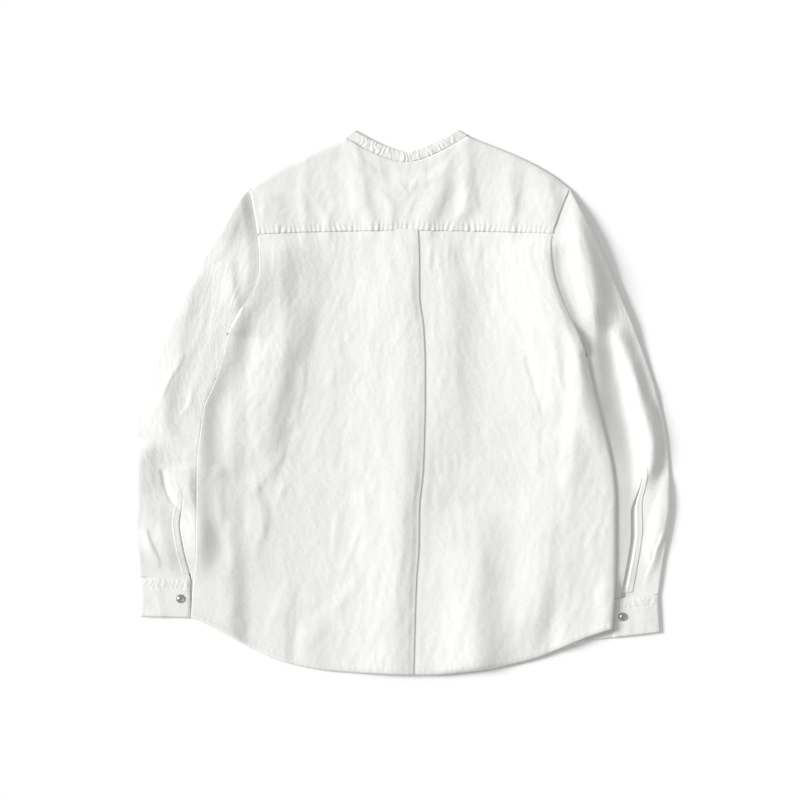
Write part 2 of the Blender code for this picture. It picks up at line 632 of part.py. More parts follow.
def make_collar():
    """The narrow band collar: round the back neck, folded at the shoulders, lapped in front."""
    lap = BAND_WIDTH / (NECK_RIGHT[0] - NECK_LEFT[0])
    low, high = CLOTH / 2, CLOTH / 2 + STEP + COLLAR_LOFT
    start, settled = COLLAR_FRONT_EASE
    turn = ((0.0, low), (COLLAR_FOLD, lerp(low, high, 0.25)),
            (COLLAR_FOLD, lerp(low, high, 0.75)), (0.0, high))
    rows = []
    for c in [-lap, 0.0] + neck_steps(CENTRE - BAND_WIDTH / 2)[:0:-1]:
        level = lerp(OUTER_BAND_LEVEL, low, smoothstep((c - start) / (settled - start)))
        rows.append(collar_row(-c, True, level))
    rows += [collar_row(-1.0, True, level, push) for push, level in turn]
    for i, c in enumerate(spaced(-COLLAR_BACK_END, COLLAR_BACK_END, 4 * COLLAR_PUCKERS + 1)):
        fade = smoothstep((COLLAR_BACK_END - abs(c)) / COLLAR_FADE)
        ripple = COLLAR_PUCKER_RISE * fade * (0.5 - 0.5 * math.cos(math.tau * i / 4))
        rows.append(collar_row(c, False, high + ripple))
    rows += [collar_row(1.0, True, level, push) for push, level in reversed(turn)]
    for c in neck_steps(CENTRE + BAND_WIDTH / 2)[1:] + [0.0, -lap]:
        level = lerp(INNER_BAND_LEVEL, low, smoothstep((c - start) / (settled - start)))
        rows.append(collar_row(c, True, level))
    return cloth_sheet("collar", rows, CLOTH, LINEN)


def sleeve_point(sleeve, v, w):
    """X and Y at fraction v down the sleeve and w across it from the outer folded edge.

    The first row follows the armhole, and the next ones ease into straight ones.
    """
    edge = LEFT_EDGE if sleeve.side < 0 else RIGHT_EDGE
    shoulder, underarm = sleeve.outer[0], sleeve.inner[0]
    armhole_x = edge_x(edge, lerp(shoulder[1], underarm[1], w))
    bow = armhole_x - lerp(shoulder[0], underarm[0], w)
    bow *= max(1.0 - v / BOW_END, 0.0) ** (1.0 + BOW_POWER * w)
    outer, inner = along(sleeve.outer, v), along(sleeve.inner, v)
    x, y = lerp(outer[0], inner[0], w) + bow, lerp(outer[1], inner[1], w)
    outside = (x - edge_x(edge, y)) * sleeve.side
    clear = ARMHOLE_GAP + SLEEVE_OUT * v - SLEEVE_OUT_END * max(underarm[1] - y, 0.0)
    return x + sleeve.side * max(clear - outside, 0.0), y


def sleeve_top(sleeve, v, w):
    """Middle height of the upper layer of a sleeve."""
    x, y = sleeve_point(sleeve, v, w)
    edge = LEFT_EDGE if sleeve.side < 0 else RIGHT_EDGE
    folds = LEFT_SLEEVE_FOLDS if sleeve.side < 0 else RIGHT_SLEEVE_FOLDS
    outside = (x - edge_x(edge, y)) * sleeve.side
    opening = smoothstep((outside - FRONT_INSET) / COVER_EASE)
    outer = along(sleeve.outer, v)
    fold_side = rolled(math.hypot(x - outer[0], y - outer[1]))
    at_cuff = smoothstep((1.0 - v) / ARMHOLE_END)
    seam = smoothstep((y - sleeve.inner[0][1]) / UNDERARM_EASE - 0.25)
    low = lerp(SLEEVE_PRESSED, CLOTH / 2 + STEP + AIR, seam * fold_side)
    air = SLEEVE_AIR * lerp(SLEEVE_AIR_AT_CUFF, 1.0, at_cuff)
    air += fold_height(folds, x, y) * at_cuff
    return low + air * opening * fold_side


def make_sleeve(name, sleeve):
    """A one-piece sleeve as a flattened tube, slit on its upper side above the cuff."""
    rows, joined = [], []
    for j, v in enumerate(spaced(0.0, 1.0, SLEEVE_ROWS)):
        slit = through(sleeve.slit, v, lambda row: row[0], lambda row: row[1])
        opened = slit + sleeve.gap * smoothstep((v - sleeve.slit_start) / SLIT_SPREAD)
        settled = smoothstep(v / ARMHOLE_END)
        near = lerp(*TURN_SHARE, settled)
        far = 1.0 - near
        under_side = CLOTH / 2 + ARMHOLE_LIFT * (1.0 - settled)
        row = []
        for w in spaced(slit, 0.0, 7)[:-1] + [near]:
            x, y = sleeve_point(sleeve, v, w)
            row.append((x, y, sleeve_top(sleeve, v, w)))
        x, y = sleeve_point(sleeve, v, 0.0)
        row.append((x, y, (under_side + row[-1][2]) / 2))
        for w in (near, 0.2, 0.4, 0.6, 0.8, far):
            x, y = sleeve_point(sleeve, v, w)
            row.append((x, y, under_side))
        x, y = sleeve_point(sleeve, v, 1.0)
        row.append((x, y, (under_side + sleeve_top(sleeve, v, far)) / 2))
        for w in spaced(far, opened, 6):
            x, y = sleeve_point(sleeve, v, w)
            row.append((x, y, sleeve_top(sleeve, v, w)))
        if v <= sleeve.slit_start:
            joined.append(j)
        rows.append(row)
    return cloth_sheet(name, rows, CLOTH, LINEN, joined)


def make_slit_binding(name, sleeve):
    """A narrow strip along the outer side of the slit."""
    rows = []
    for v in spaced(sleeve.slit_start - BINDING_ABOVE, SLIT_END, 8):
        slit = through(sleeve.slit, v, lambda row: row[0], lambda row: row[1])
        outer, inner = along(sleeve.outer, v), along(sleeve.inner, v)
        width = math.hypot(outer[0] - inner[0], outer[1] - inner[1])
        row = []
        for across in spaced(CLOTH / 2, CLOTH / 2 + BINDING_WIDTH, 3):
            w = slit - across / width
            x, y = sleeve_point(sleeve, v, w)
            row.append((x, y, sleeve_top(sleeve, v, w) + STEP + BINDING_RISE))
        rows.append(row)
    return cloth_sheet(name, rows, CLOTH, LINEN)


def cuff_point(cuff, across, down, z):
    """A point of a cuff: across from the outer fold, down from its upper edge."""
    (outer_x, outer_y), (inner_x, inner_y) = cuff.sleeve.outer[-1], cuff.sleeve.inner[-1]
    share = across / cuff_width(cuff)
    x = lerp(outer_x, inner_x, share) + cuff.sleeve.side * cuff.lean * down
    return x, lerp(outer_y, inner_y, share) - down, z


def cuff_width(cuff):
    (outer_x, outer_y), (inner_x, inner_y) = cuff.sleeve.outer[-1], cuff.sleeve.inner[-1]
    return math.hypot(inner_x - outer_x, inner_y - outer_y)


def make_cuff(name, cuff):
    """A cuff as a flattened band: lapped end, outer fold, underside, inner fold, under end."""
    low = CUFF_WALL / 2
    under = low + CUFF_WALL + CUFF_CLEAR
    top = under + CUFF_WALL + GAP
    inner_end = cuff.lap_end - CUFF_OVERLAP
    flat, crowned = CUFF_LAP_SETTLE
    bend, width = CUFF_WALL * 2 / 3, cuff_width(cuff)
    path = [
        (cuff.lap_end, top), (cuff.lap_end - CUFF_OVERLAP / 2, top), (inner_end - flat, top),
        (inner_end - crowned, top + CUFF_CROWN), (inner_end / 2, top + CUFF_CROWN / 2),
        (CUFF_TURN, top - CUFF_CROWN), (bend, top - CUFF_WALL),
        (0.0, (low + top - CUFF_CROWN) / 2), (bend, low), (width / 2, low),
        (width - bend, low), (width, (low + under) / 2), (width - bend, under),
        (cuff.lap_end + CUFF_TURN, under), (inner_end, under),
    ]
    rows = []
    for down in (GAP, cuff.height / 2, cuff.height):
        rows.append([cuff_point(cuff, across, down, z) for across, z in path])
    cloth_sheet(name, rows, CUFF_WALL, LINEN)
    return top + CUFF_WALL / 2


def make_stud(name, profile, height, place, segments):
    """The cap of a press stud, turned from a profile of shares of its radius and height."""
    mesh = bpy.data.meshes.new(name)
    verts = [(ring.radius * STUD_RADIUS * MM, 0.0, ring.height * height * MM) for ring in profile]
    mesh.from_pydata(verts, [(i, i + 1) for i in range(len(verts) - 1)], [])
    thing = add_object(name, mesh, STUD_METAL)
    thing.location = [value * MM for value in place]
    screw = thing.modifiers.new("Turn", "SCREW")
    screw.steps = segments
    screw.render_steps = segments
    screw.use_merge_vertices = True
    screw.merge_threshold = 0.00001
    screw.use_smooth_shade = True
    return thing


def make_cuff_stud(name, cuff, seat):
    """A rim, a groove and a dome on a cuff's lapped end."""
    x, y, _ = cuff_point(cuff, cuff.stud_across, cuff.stud_down, seat)
    make_stud(name, CUFF_STUD, STUD_HEIGHT, (x, y, seat + GAP), 24)


def make_front_studs():
    """Flat caps between the outer band and the surface below."""
    top = front_neck_y(CENTRE) - FIRST_STUD
    bottom = edge_y(HEM, CENTRE) + LAST_STUD
    for k, y in enumerate(spaced(top, bottom, FRONT_STUDS)):
        name = "front_stud_%d" % (k + 1)
        make_stud(name, FRONT_STUD, FRONT_STUD_HEIGHT, (CENTRE, y, 0.0), 16)


def clear_scene():
    for thing in list(bpy.data.objects):
        bpy.data.objects.remove(thing, do_unlink=True)


def main():
    clear_scene()
    collection = bpy.data.collections.new("band_collar_shirt")
    bpy.context.scene.collection.children.link(collection)
    shirt = bpy.data.objects.new("shirt", None)
    shirt.location = (-MIDDLE[0] * MM, -MIDDLE[1] * MM, 0.0)
    collection.objects.link(shirt)

    make_front("front_left", -1, OUTER_BAND_LEVEL)
    make_front("front_right", 1, INNER_BAND_LEVEL)
    make_front_band("front_band_left", OUTER_BAND_LEVEL)
    make_front_band("front_band_right", INNER_BAND_LEVEL)
    make_front_studs()
    make_back()
    make_yoke()
    make_collar()
    for side, sleeve, cuff in (("left", LEFT_SLEEVE, LEFT_CUFF),
                               ("right", RIGHT_SLEEVE, RIGHT_CUFF)):
        make_sleeve("sleeve_" + side, sleeve)
        make_slit_binding("slit_binding_" + side, sleeve)
        seat = make_cuff("cuff_" + side, cuff)
        make_cuff_stud("cuff_stud_" + side, cuff, seat)


main()
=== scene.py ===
"""Linen band collar shirt, laid on its front with the back panel uppermost.

The cloth pieces are rebuilt round the packed part as thin creased sheets, with seams, stitches
and press studs, on a pale floor in soft light. Sizes in the tables are millimetres: X runs
across the shirt, Y from hem to neck, Z up from the floor. "Left" and "right" are the wearer's.
"""
from collections import namedtuple
import math

import bpy
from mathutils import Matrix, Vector
from mathutils.bvhtree import BVHTree
import numpy as np


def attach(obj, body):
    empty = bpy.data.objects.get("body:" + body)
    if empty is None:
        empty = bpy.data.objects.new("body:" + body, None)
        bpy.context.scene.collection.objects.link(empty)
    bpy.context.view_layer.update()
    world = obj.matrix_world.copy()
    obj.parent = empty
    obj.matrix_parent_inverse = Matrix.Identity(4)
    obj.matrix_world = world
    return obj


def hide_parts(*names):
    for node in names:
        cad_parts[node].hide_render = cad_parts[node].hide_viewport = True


bl_info = {
    "name": "Linen band collar shirt",
    "version": (1, 0, 0),
    "blender": (4, 5, 0),
    "location": "3D View > Sidebar > Shirt",
    "description": "Builds the cloth, seams, studs, floor and light of a laid-out linen shirt",
    "category": "Add Mesh",
}

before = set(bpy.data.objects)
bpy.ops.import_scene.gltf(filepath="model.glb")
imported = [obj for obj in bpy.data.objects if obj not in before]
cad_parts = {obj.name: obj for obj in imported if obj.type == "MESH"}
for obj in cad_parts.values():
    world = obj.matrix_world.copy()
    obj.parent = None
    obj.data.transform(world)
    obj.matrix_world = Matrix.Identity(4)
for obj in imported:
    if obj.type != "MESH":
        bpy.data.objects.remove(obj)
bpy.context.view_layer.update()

MM = 0.001
MIDDLE = np.array((-0.96, 0.50, 0.0))     # middle of the outline tables

# Layers of the laid-out shirt, as in the packed part
LAYER = 1.0                 # room that one layer of cloth takes
GAP = 0.3                   # and between two layers
STEP = LAYER + GAP
AIR = 2.2                   # loft of the back over the fronts

# Body
CENTRE = 6.0
YOKE_SEAM = 240.0           # Y of the yoke's lower seam at the centre
YOKE_SEAM_DROP = 4.5        # how much lower it is at the armholes
HEM_ROLL = 0.35             # share of the full loft left at the hem
HEM_REACH = 14.0            # width over which it comes down to that
NECK_LEFT = (-79.0, 371.0)
NECK_RIGHT = (90.0, 373.0)
TIP_LEFT = (-66.5, 380.2)
TIP_RIGHT = (76.5, 380.8)
BACK_NECK_DROP = 36.0       # depth of the neckline, and how flat its bottom is
BACK_NECK_POWER = 1.6
FRONT_NECK_DROP = 83.0
FRONT_NECK_POWER = 3.2
FRONT_INSET = 1.5           # the fronts' hem lies this far inside the back's

# Collar
COLLAR_HEIGHT = 14.0
COLLAR_EDGE_POWER = 1.35    # how flat the bottom of its free edge is at the back
COLLAR_FOLD = 0.9           # how far its folds beside the neck stand out
COLLAR_LOFT = 1.2           # height of its back over its front, past one step
COLLAR_EASE = 20.0          # height over which the back settles onto the collar
COLLAR_GAP = 0.1

# Front bands
BAND_WIDTH = 30.0
BAND_EASE = 24.0            # width over which a front rises to its band
BACK_BAND_EASE = 75.0       # the back bridges the bands' thickness over a longer way
FRONT_STUD_HEIGHT = 1.2
OUTER_BAND_LEVEL = FRONT_STUD_HEIGHT + GAP + LAYER / 2
INNER_BAND_LEVEL = OUTER_BAND_LEVEL + STEP

# Sleeves and cuffs
SLEEVE_PRESSED = 2.4        # height of the upper layer before its loft, away from the armhole
ARMHOLE_LIFT = 0.1          # the underside is lifted by this at the armhole
ARMHOLE_END = 0.08          # over this share of the length, as the loft ends at the cuff
BOW_END = 0.3               # the armhole's curve is gone by this share of the length
BOW_POWER = 6.0             # and sooner towards the inner edge
SLEEVE_OUT = 30.0           # the sleeve is kept this far outside the body's edge, per its length
SLEEVE_OUT_END = 2.0        # less this for each mm below the underarm
SLIT_SPREAD = 0.08          # share of the length over which the slit opens
SLIT_END = 0.985            # share of the length at which its binding ends
FRONT_OVER_SLEEVE = 3.9     # height of a front's middle over a sleeve
COVER_INSET = 4.0           # a sleeve holds the body up to this far past its inner edge
COVER_EASE = 28.0           # and less and less over this width
UNDERARM_EASE = 40.0        # height over which the layers change places there
CUFF_WALL = 1.2             # room that each layer of a cuff takes
CUFF_OVERLAP = 30.0         # how far its two ends lie over each other
CUFF_LAP_SETTLE = (4.0, 14.0)           # past the lap, the upper layer rises between these
CUFF_CROWN = 0.4            # and by this much
CUFF_TURN = 4.0
CUFF_LAP_RISE = 1.5         # how much the right cuff's lapped end lifts the body over it
CUFF_LAP_X = (262.0, 284.0)
CUFF_LAP_Y = (-345.0, -333.0, -262.0, -248.0)
CUFF_CLEAR = 0.6            # room inside the cuff
BINDING_WIDTH = 9.0
BINDING_ABOVE = 0.02        # the binding starts this share of the sleeve above the slit

Edge = namedtuple("Edge", "y x")


def edge_line(*places):
    return tuple(Edge(*place) for place in places)


LEFT_EDGE = edge_line(
    (300, -213.5), (265, -207), (236, -202.5), (210, -199.5), (185, -199), (155, -206),
    (128, -221), (94.5, -241.5), (58, -250.5), (22, -262.5), (-8, -275.5), (-48, -281.5),
    (-90, -286), (-206, -286.5), (-258, -291.5), (-300, -294.5))
RIGHT_EDGE = edge_line(
    (299, 234.5), (267, 221), (239, 211), (214, 206.5), (186, 208.5), (155, 217), (110, 237),
    (66.5, 254), (18, 265.5), (-24, 276.5), (-62, 286.5), (-95, 293.5), (-137, 297.5),
    (-220, 297.5), (-270, 296), (-316, 292.5))
# Y of the hem and of the shoulders at each X across them, from left to right
HEM = edge_line(
    (-300, -294.5), (-307, -278), (-322, -249), (-346, -206.5), (-365.5, -156), (-375.5, -99),
    (-380.5, -3.5), (-381, 43), (-377, 86), (-369, 139.5), (-356.5, 190), (-342, 225),
    (-328.5, 257), (-316, 292.5))
LEFT_SHOULDER = edge_line((300, -213.5), (323.5, -178.5), (345.5, -135), (371, -79))
RIGHT_SHOULDER = edge_line((373, 90), (341.5, 167), (317.5, 210.5), (299, 234.5))
HEM_LOWEST = min(row.y for row in HEM)
SIDE_EDGES = {-1: LEFT_EDGE, 1: RIGHT_EDGE}

# A sleeve's outer and inner edge as (X, Y) places from shoulder and underarm to cuff. Its slit
# follows (share down, share across) places, and opens by gap, a share of the sleeve's width.
Sleeve = namedtuple("Sleeve", "side outer inner slit_start slit gap")
LEFT_SLEEVE = Sleeve(
    side=-1,
    outer=((-213.5, 300), (-227.5, 285.5), (-249, 250), (-278, 202.5),
           (-313.5, 131), (-335.5, 84.5), (-353, 34), (-363.5, 3.5),
           (-372, -31.5), (-376, -86), (-377, -139.5), (-374.5, -182.5),
           (-368.5, -244.5)),
    inner=((-241.5, 94.5), (-243, 45.5), (-247, -24.5), (-248.5, -89),
           (-248.5, -164.5), (-246, -220.5), (-245, -247)),
    slit_start=0.75,
    slit=((0, 0.5), (0.75, 0.55), (0.84, 0.50), (0.9, 0.52), (1, 0.58)), gap=0.035)
RIGHT_SLEEVE = Sleeve(
    side=1,
    outer=((234.5, 299), (250.5, 269.5), (264.5, 241.5), (277, 213.5),
           (289.5, 185.5), (308, 143.5), (323, 108.5), (336, 73.5),
           (348, 38.5), (358.5, 3.5), (366.5, -31.5), (371.5, -66.5),
           (374, -108.5), (375, -159), (370.5, -190), (364.5, -226),
           (358.5, -268.5)),
    inner=((254, 66.5), (252.5, 3.5), (248.5, -66.5), (244.5, -136.5),
           (240, -206.5), (236.5, -282.5)),
    slit_start=0.68,
    slit=((0, 0.5), (0.6, 0.3), (0.68, 0.29), (0.75, 0.355), (0.85, 0.35), (1, 0.385)),
    gap=0.11)

SLEEVES = {"left": LEFT_SLEEVE, "right": RIGHT_SLEEVE}

# Cuffs: how far the lapped end lies from the outer fold, the cuff's height, how far it leans
# outwards for each millimetre down, and the seed of its puckers
Cuff = namedtuple("Cuff", "sleeve lap_end height lean seed")
LEFT_CUFF = Cuff(LEFT_SLEEVE, lap_end=72.5, height=54.6, lean=0.0, seed=511)
RIGHT_CUFF = Cuff(RIGHT_SLEEVE, lap_end=67.0, height=52.4, lean=0.05, seed=611)
CUFFS = {"left": LEFT_CUFF, "right": RIGHT_CUFF}

# Relief of the cloth. A ridge, or a trough where its rise is negative, follows a crest of
# stations (Y, X, share of the rise), and falls away over its left and right widths.
Ridge = namedtuple("Ridge", "rise left right crest")


def crease(rise, left, right, *line):
    """A narrow ridge or trough through (X, Y) places, fading out at both ends."""
    if len(line) == 2:
        (x0, y0), (x1, y1) = line
        line = (line[0], ((x0 + x1) / 2, (y0 + y1) / 2), line[1])
    last = len(line) - 1
    return Ridge(rise, left, right,
                 tuple((y, x, 0.0 if k in (0, last) else 1.0) for k, (x, y) in enumerate(line)))


def creases(rise, left, right, *lines):
    return tuple(crease(rise, left, right, *line) for line in lines)


SWELL = (
    Ridge(8.0, 85.0, 23.0, (
        (215, -200, 0), (190, -202, .35), (165, -206, .6), (140, -217, .65), (118, -231, .75),
        (95, -241, .85), (60, -254, 1), (22, -270, 1.15), (-8, -281, 1.2), (-48, -284, 1.25),
        (-90, -286, 1.15), (-120, -287, 1), (-150, -287, 1), (-190, -285, 1.2),
        (-215, -286, .8), (-235, -287, .25), (-250, -288, 0))),
    Ridge(11.0, 130.0, 21.0, (
        (300, 232, 0), (285, 237, .25), (265, 242, .5), (245, 246, .7), (220, 253, .85),
        (190, 260, .95), (160, 263, 1), (130, 264, 1), (110, 265, 1), (90, 265, 1),
        (75, 265, 1), (50, 265, 1), (25, 267, 1), (0, 270, 1), (-25, 277, .9), (-50, 284, .75),
        (-75, 291, .55), (-106, 297, .38), (-150, 299, .35), (-300, 302, .32), (-400, 305, .3))),
)
# Swell of the body alone, over the sleeve's inner part and the cuff
BODY_SWELL = (
    Ridge(3.0, 60.0, 110.0, (
        (-60, -284, 0), (-110, -284, .9), (-200, -286, 1), (-400, -290, 1))),
    Ridge(3.2, 40.0, 55.0, (
        (-140, -287, 0), (-190, -287, .4), (-225, -288, .8), (-250, -290, 1), (-400, -300, 1))),
)
BACK_RIDGES = (
    # Left half: the long fold from the yoke, then the shorter ones towards the hem
    Ridge(8.5, 95.0, 24.0, (
        (238, -176, .3), (220, -174, .75), (196, -173, .95), (175, -173, 1), (150, -172, 1),
        (125, -171, .9), (100, -170, .85), (75, -170, .9), (50, -172, .95), (22, -176, 1),
        (0, -181, .95), (-25, -187, .9), (-50, -190, .85), (-75, -190, .5), (-95, -191, .15),
        (-105, -192, 0))),
    Ridge(2.0, 24.0, 18.0, (
        (230, -136, .2), (200, -134, 1), (175, -132, 1), (150, -132, .9), (125, -138, 1.3),
        (100, -143, 1.4), (75, -150, .8), (50, -158, 0))),
    Ridge(2.2, 30.0, 10.0, (
        (-85, -186, 0), (-100, -190, .6), (-125, -207, 1), (-150, -199, 1), (-175, -199, .9),
        (-200, -204, .7), (-225, -206, .3), (-240, -206, 0))),
    Ridge(0.8, 16.0, 14.0, (
        (-215, -250, 0), (-235, -250, .8), (-260, -248, 1), (-285, -246, 1), (-305, -244, .9),
        (-325, -240, .7))),
    Ridge(2.6, 16.0, 9.0, (
        (-85, -258, 0), (-100, -257, 1), (-125, -256, 1), (-150, -255, 1), (-165, -254, .6),
        (-180, -254, 0))),
    Ridge(-2.0, 14.0, 18.0, (
        (-150, -268, 0), (-175, -264, .8), (-200, -264, 1), (-225, -266, .7), (-245, -268, 0))),
    Ridge(1.6, 26.0, 8.0, (
        (-245, -160, 0), (-275, -163, .5), (-300, -167, .9), (-325, -166, 1), (-350, -166, .9),
        (-375, -164, .6))),
    Ridge(2.0, 16.0, 22.0, (
        (-290, -124, 0), (-310, -126, .5), (-325, -130, 1), (-345, -134, .8), (-375, -134, .5))),
    Ridge(1.2, 14.0, 12.0, ((-240, -66, 0), (-262, -74, 1), (-287, -90, .8), (-310, -96, 0))),
    # Centre, beside the pleat
    Ridge(3.0, 60.0, 20.0, (
        (238, -6, .3), (200, 0, .5), (150, -2, 1), (100, -1, .8), (50, -1, .6), (0, 0, .7),
        (-50, 0, .9), (-100, 1, 1.1), (-150, -3, 1.4), (-200, -6, 1.5), (-250, -9, 1.4),
        (-300, -12, 1.3), (-340, -14, 1.2), (-390, -16, 1))),
    Ridge(4.2, 40.0, 24.0, (
        (240, 62, .5), (225, 63, .7), (200, 66, .8), (175, 70, .9), (150, 70, 1), (125, 70, 1),
        (100, 72, 1), (75, 70, 1), (50, 70, 1), (25, 72, .9), (0, 72, .8), (-25, 72, .6),
        (-50, 72, .4), (-75, 70, .15), (-100, 66, 0))),
    Ridge(1.4, 12.0, 10.0, (
        (245, 100, .6), (225, 102, 1), (200, 103, 1), (175, 106, .9), (155, 108, .4),
        (140, 110, 0))),
    # Right half: the long fold beside the armhole, and the two that open towards the hem
    Ridge(8.5, 60.0, 17.0, (
        (245, 205, .5), (225, 202, .8), (200, 200, .95), (175, 203, 1), (150, 211, 1.1),
        (125, 220, 1.1), (100, 228, 1.05), (80, 235, .9), (60, 241, .75), (45, 243, .7),
        (25, 246, .65), (0, 249, .55), (-25, 256, .4), (-50, 264, .2), (-75, 270, 0))),
    Ridge(1.1, 18.0, 8.0, (
        (110, 205, 0), (87, 208, .6), (58, 213, 1), (30, 216, 1), (10, 218, .6), (-10, 222, 0))),
    Ridge(4.0, 45.0, 24.0, (
        (-30, 220, 0), (-50, 222, .5), (-75, 225, .9), (-100, 224, 1), (-125, 215, 1.1),
        (-150, 210, 1.2), (-175, 205, 1.4), (-200, 202, 1.5), (-225, 201, 1.6), (-250, 197, 1.7),
        (-275, 191, 1.7), (-300, 185, 1.6), (-325, 178, 1.1), (-345, 174, .6), (-362, 172, 0))),
    Ridge(8.5, 44.0, 37.0, (
        (-140, 102, 0), (-165, 102, .4), (-200, 102, .7), (-225, 100, .95), (-250, 99, 1.1),
        (-275, 99, 1.15), (-300, 100, 1.25), (-325, 101, 1.3), (-400, 102, 1.3))),
    # Creases
    crease(0.6, 8.0, 3.2, (-136, 58), (-137, 45), (-140, 22), (-144.5, -3), (-148, -27),
           (-150, -40)),
    crease(-0.5, 4.6, 6.2, (-149, -24), (-151, -34), (-158, -53), (-165, -82), (-167, -95)),
    crease(-0.6, 3.0, 8.8, (173, 68), (174.5, 58), (180.6, 38), (185.4, 19), (191.5, 2),
           (195, -17), (196, -26)),
    *creases(0.4, 5.8, 3.2, ((-56, 48), (-60, 36), (-65, 22)), ((-46, 24), (-51, -4)),
             ((-95, 46), (-99, 20)), ((-87, 88), (-87, 60))),
    *creases(0.4, 3.4, 6.2, ((-76, 104), (-76, 82)), ((-30, -46), (-35, -80))),
    *creases(0.5, 6.9, 3.2, ((-204, -92), (-204, -110), (-202, -123), (-196, -132)),
             ((-187, -140), (-190, -157), (-193, -175), (-194, -196)),
             ((-164, -66), (-171, -80), (-177, -92), (-178, -110))),
    *creases(0.6, 3.4, 7.5, ((-162, -106), (-168, -122), (-181, -156)),
             ((-259, -84), (-263, -98), (-268, -120))),
    crease(0.4, 6.9, 3.8, (-153, -250), (-154, -275), (-155, -320), (-156.5, -366)),
    crease(0.5, 3.4, 7.5, (-88, -142), (-94, -169), (-97, -195), (-98, -226)),
    crease(0.5, 5.8, 3.8, (-56, -166), (-65, -190), (-72, -207), (-86, -252)),
    *creases(0.4, 4.6, 3.2, ((-58, -84), (-52, -98)), ((-44, -92), (-48, -112)),
             ((-36, -104), (-40, -128)), ((-54, -118), (-50, -150))),
    *creases(0.4, 5.8, 3.8, ((-119, -190), (-129, -208)), ((69, -152), (69, -200)),
             ((83, -130), (83, -168))),
    *creases(0.4, 4.6, 3.8, ((281, -168), (281, -186)), ((273, -262), (273, -278))),
    crease(0.5, 9.2, 3.8, (188, -26), (189, -60), (190, -85), (191, -112)),
    crease(0.6, 3.4, 7.5, (253, -210), (262, -190), (274, -164)),
    crease(0.4, 5.8, 3.8, (152, 118), (157, 102), (164, 84)),
    crease(0.5, 5.8, 3.8, (-42, -345), (-40, -358), (-38, -378)),
    *creases(0.4, 5.8, 3.8, ((-30, -350), (-31, -376)), ((-19, -346), (-18, -372))),
    crease(0.5, 3.4, 10.0, (-17, 240), (-9, 226), (2, 208)),
    crease(0.5, 6.9, 3.2, (41, 242), (40, 215), (39, 178)),
)
YOKE_RIDGES = (
    Ridge(2.4, 20.0, 12.0, (
        (345, -66, .3), (330, -66, .7), (310, -57, 1), (290, -56, 1.1), (270, -52, 1),
        (255, -46, .9), (240, -42, .5))),
    Ridge(1.2, 10.0, 7.0, (
        (300, -34, 0), (290, -25, .8), (270, -15, 1), (255, -16, 1), (243, -17, .6))),
    Ridge(1.2, 8.0, 8.0, (
        (300, -137, .5), (290, -138, .7), (270, -137, 1), (255, -137, 1), (243, -137, .7))),
    Ridge(2.4, 14.0, 12.0, (
        (320, 60, .3), (310, 57, .6), (290, 50, 1), (270, 41, 1), (255, 34, .8), (243, 31, .5))),
    Ridge(2.6, 11.0, 12.0, (
        (345, 92, .5), (310, 88, 1), (290, 90, 1.2), (270, 88, 1.1), (255, 80, .6),
        (243, 78, .3))),
    Ridge(2.0, 16.0, 9.0, (
        (330, 152, .4), (310, 150, 1), (290, 152, 1), (270, 152, .8), (255, 150, .6),
        (243, 150, .4))),
    Ridge(3.0, 30.0, 12.0, (
        (320, 198, .4), (300, 206, 1), (280, 208, 1), (260, 206, .8), (243, 204, .6))),
    Ridge(1.1, 9.0, 9.0, ((275, -104, 0), (255, -102, 1), (243, -102, .8))),
    Ridge(5.0, 50.0, 22.0, (
        (300, -196, 0), (285, -190, .5), (265, -184, .5), (243, -178, .35))),
    *creases(0.6, 4.6, 3.2, ((-7, 314), (0, 302), (11, 288)), ((21, 318), (16, 303), (10, 286))),
    crease(0.6, 5.8, 3.2, (19, 290), (12, 272), (4, 256)),
    crease(0.5, 5.8, 3.2, (30, 335), (30, 298)),
    crease(-0.6, 9.2, 10.0, (-26, 336), (-20, 323), (-14, 308)),
    crease(0.5, 5.8, 3.8, (66, 316), (58, 288), (52, 267), (42, 246)),
    crease(0.5, 6.9, 3.2, (168, 338), (163, 305), (159, 282), (156, 250)),
    crease(0.5, 5.8, 3.8, (98, 310), (103, 282), (108, 254)),
    crease(0.6, 3.4, 7.5, (-194, 294), (-194, 250)),
)
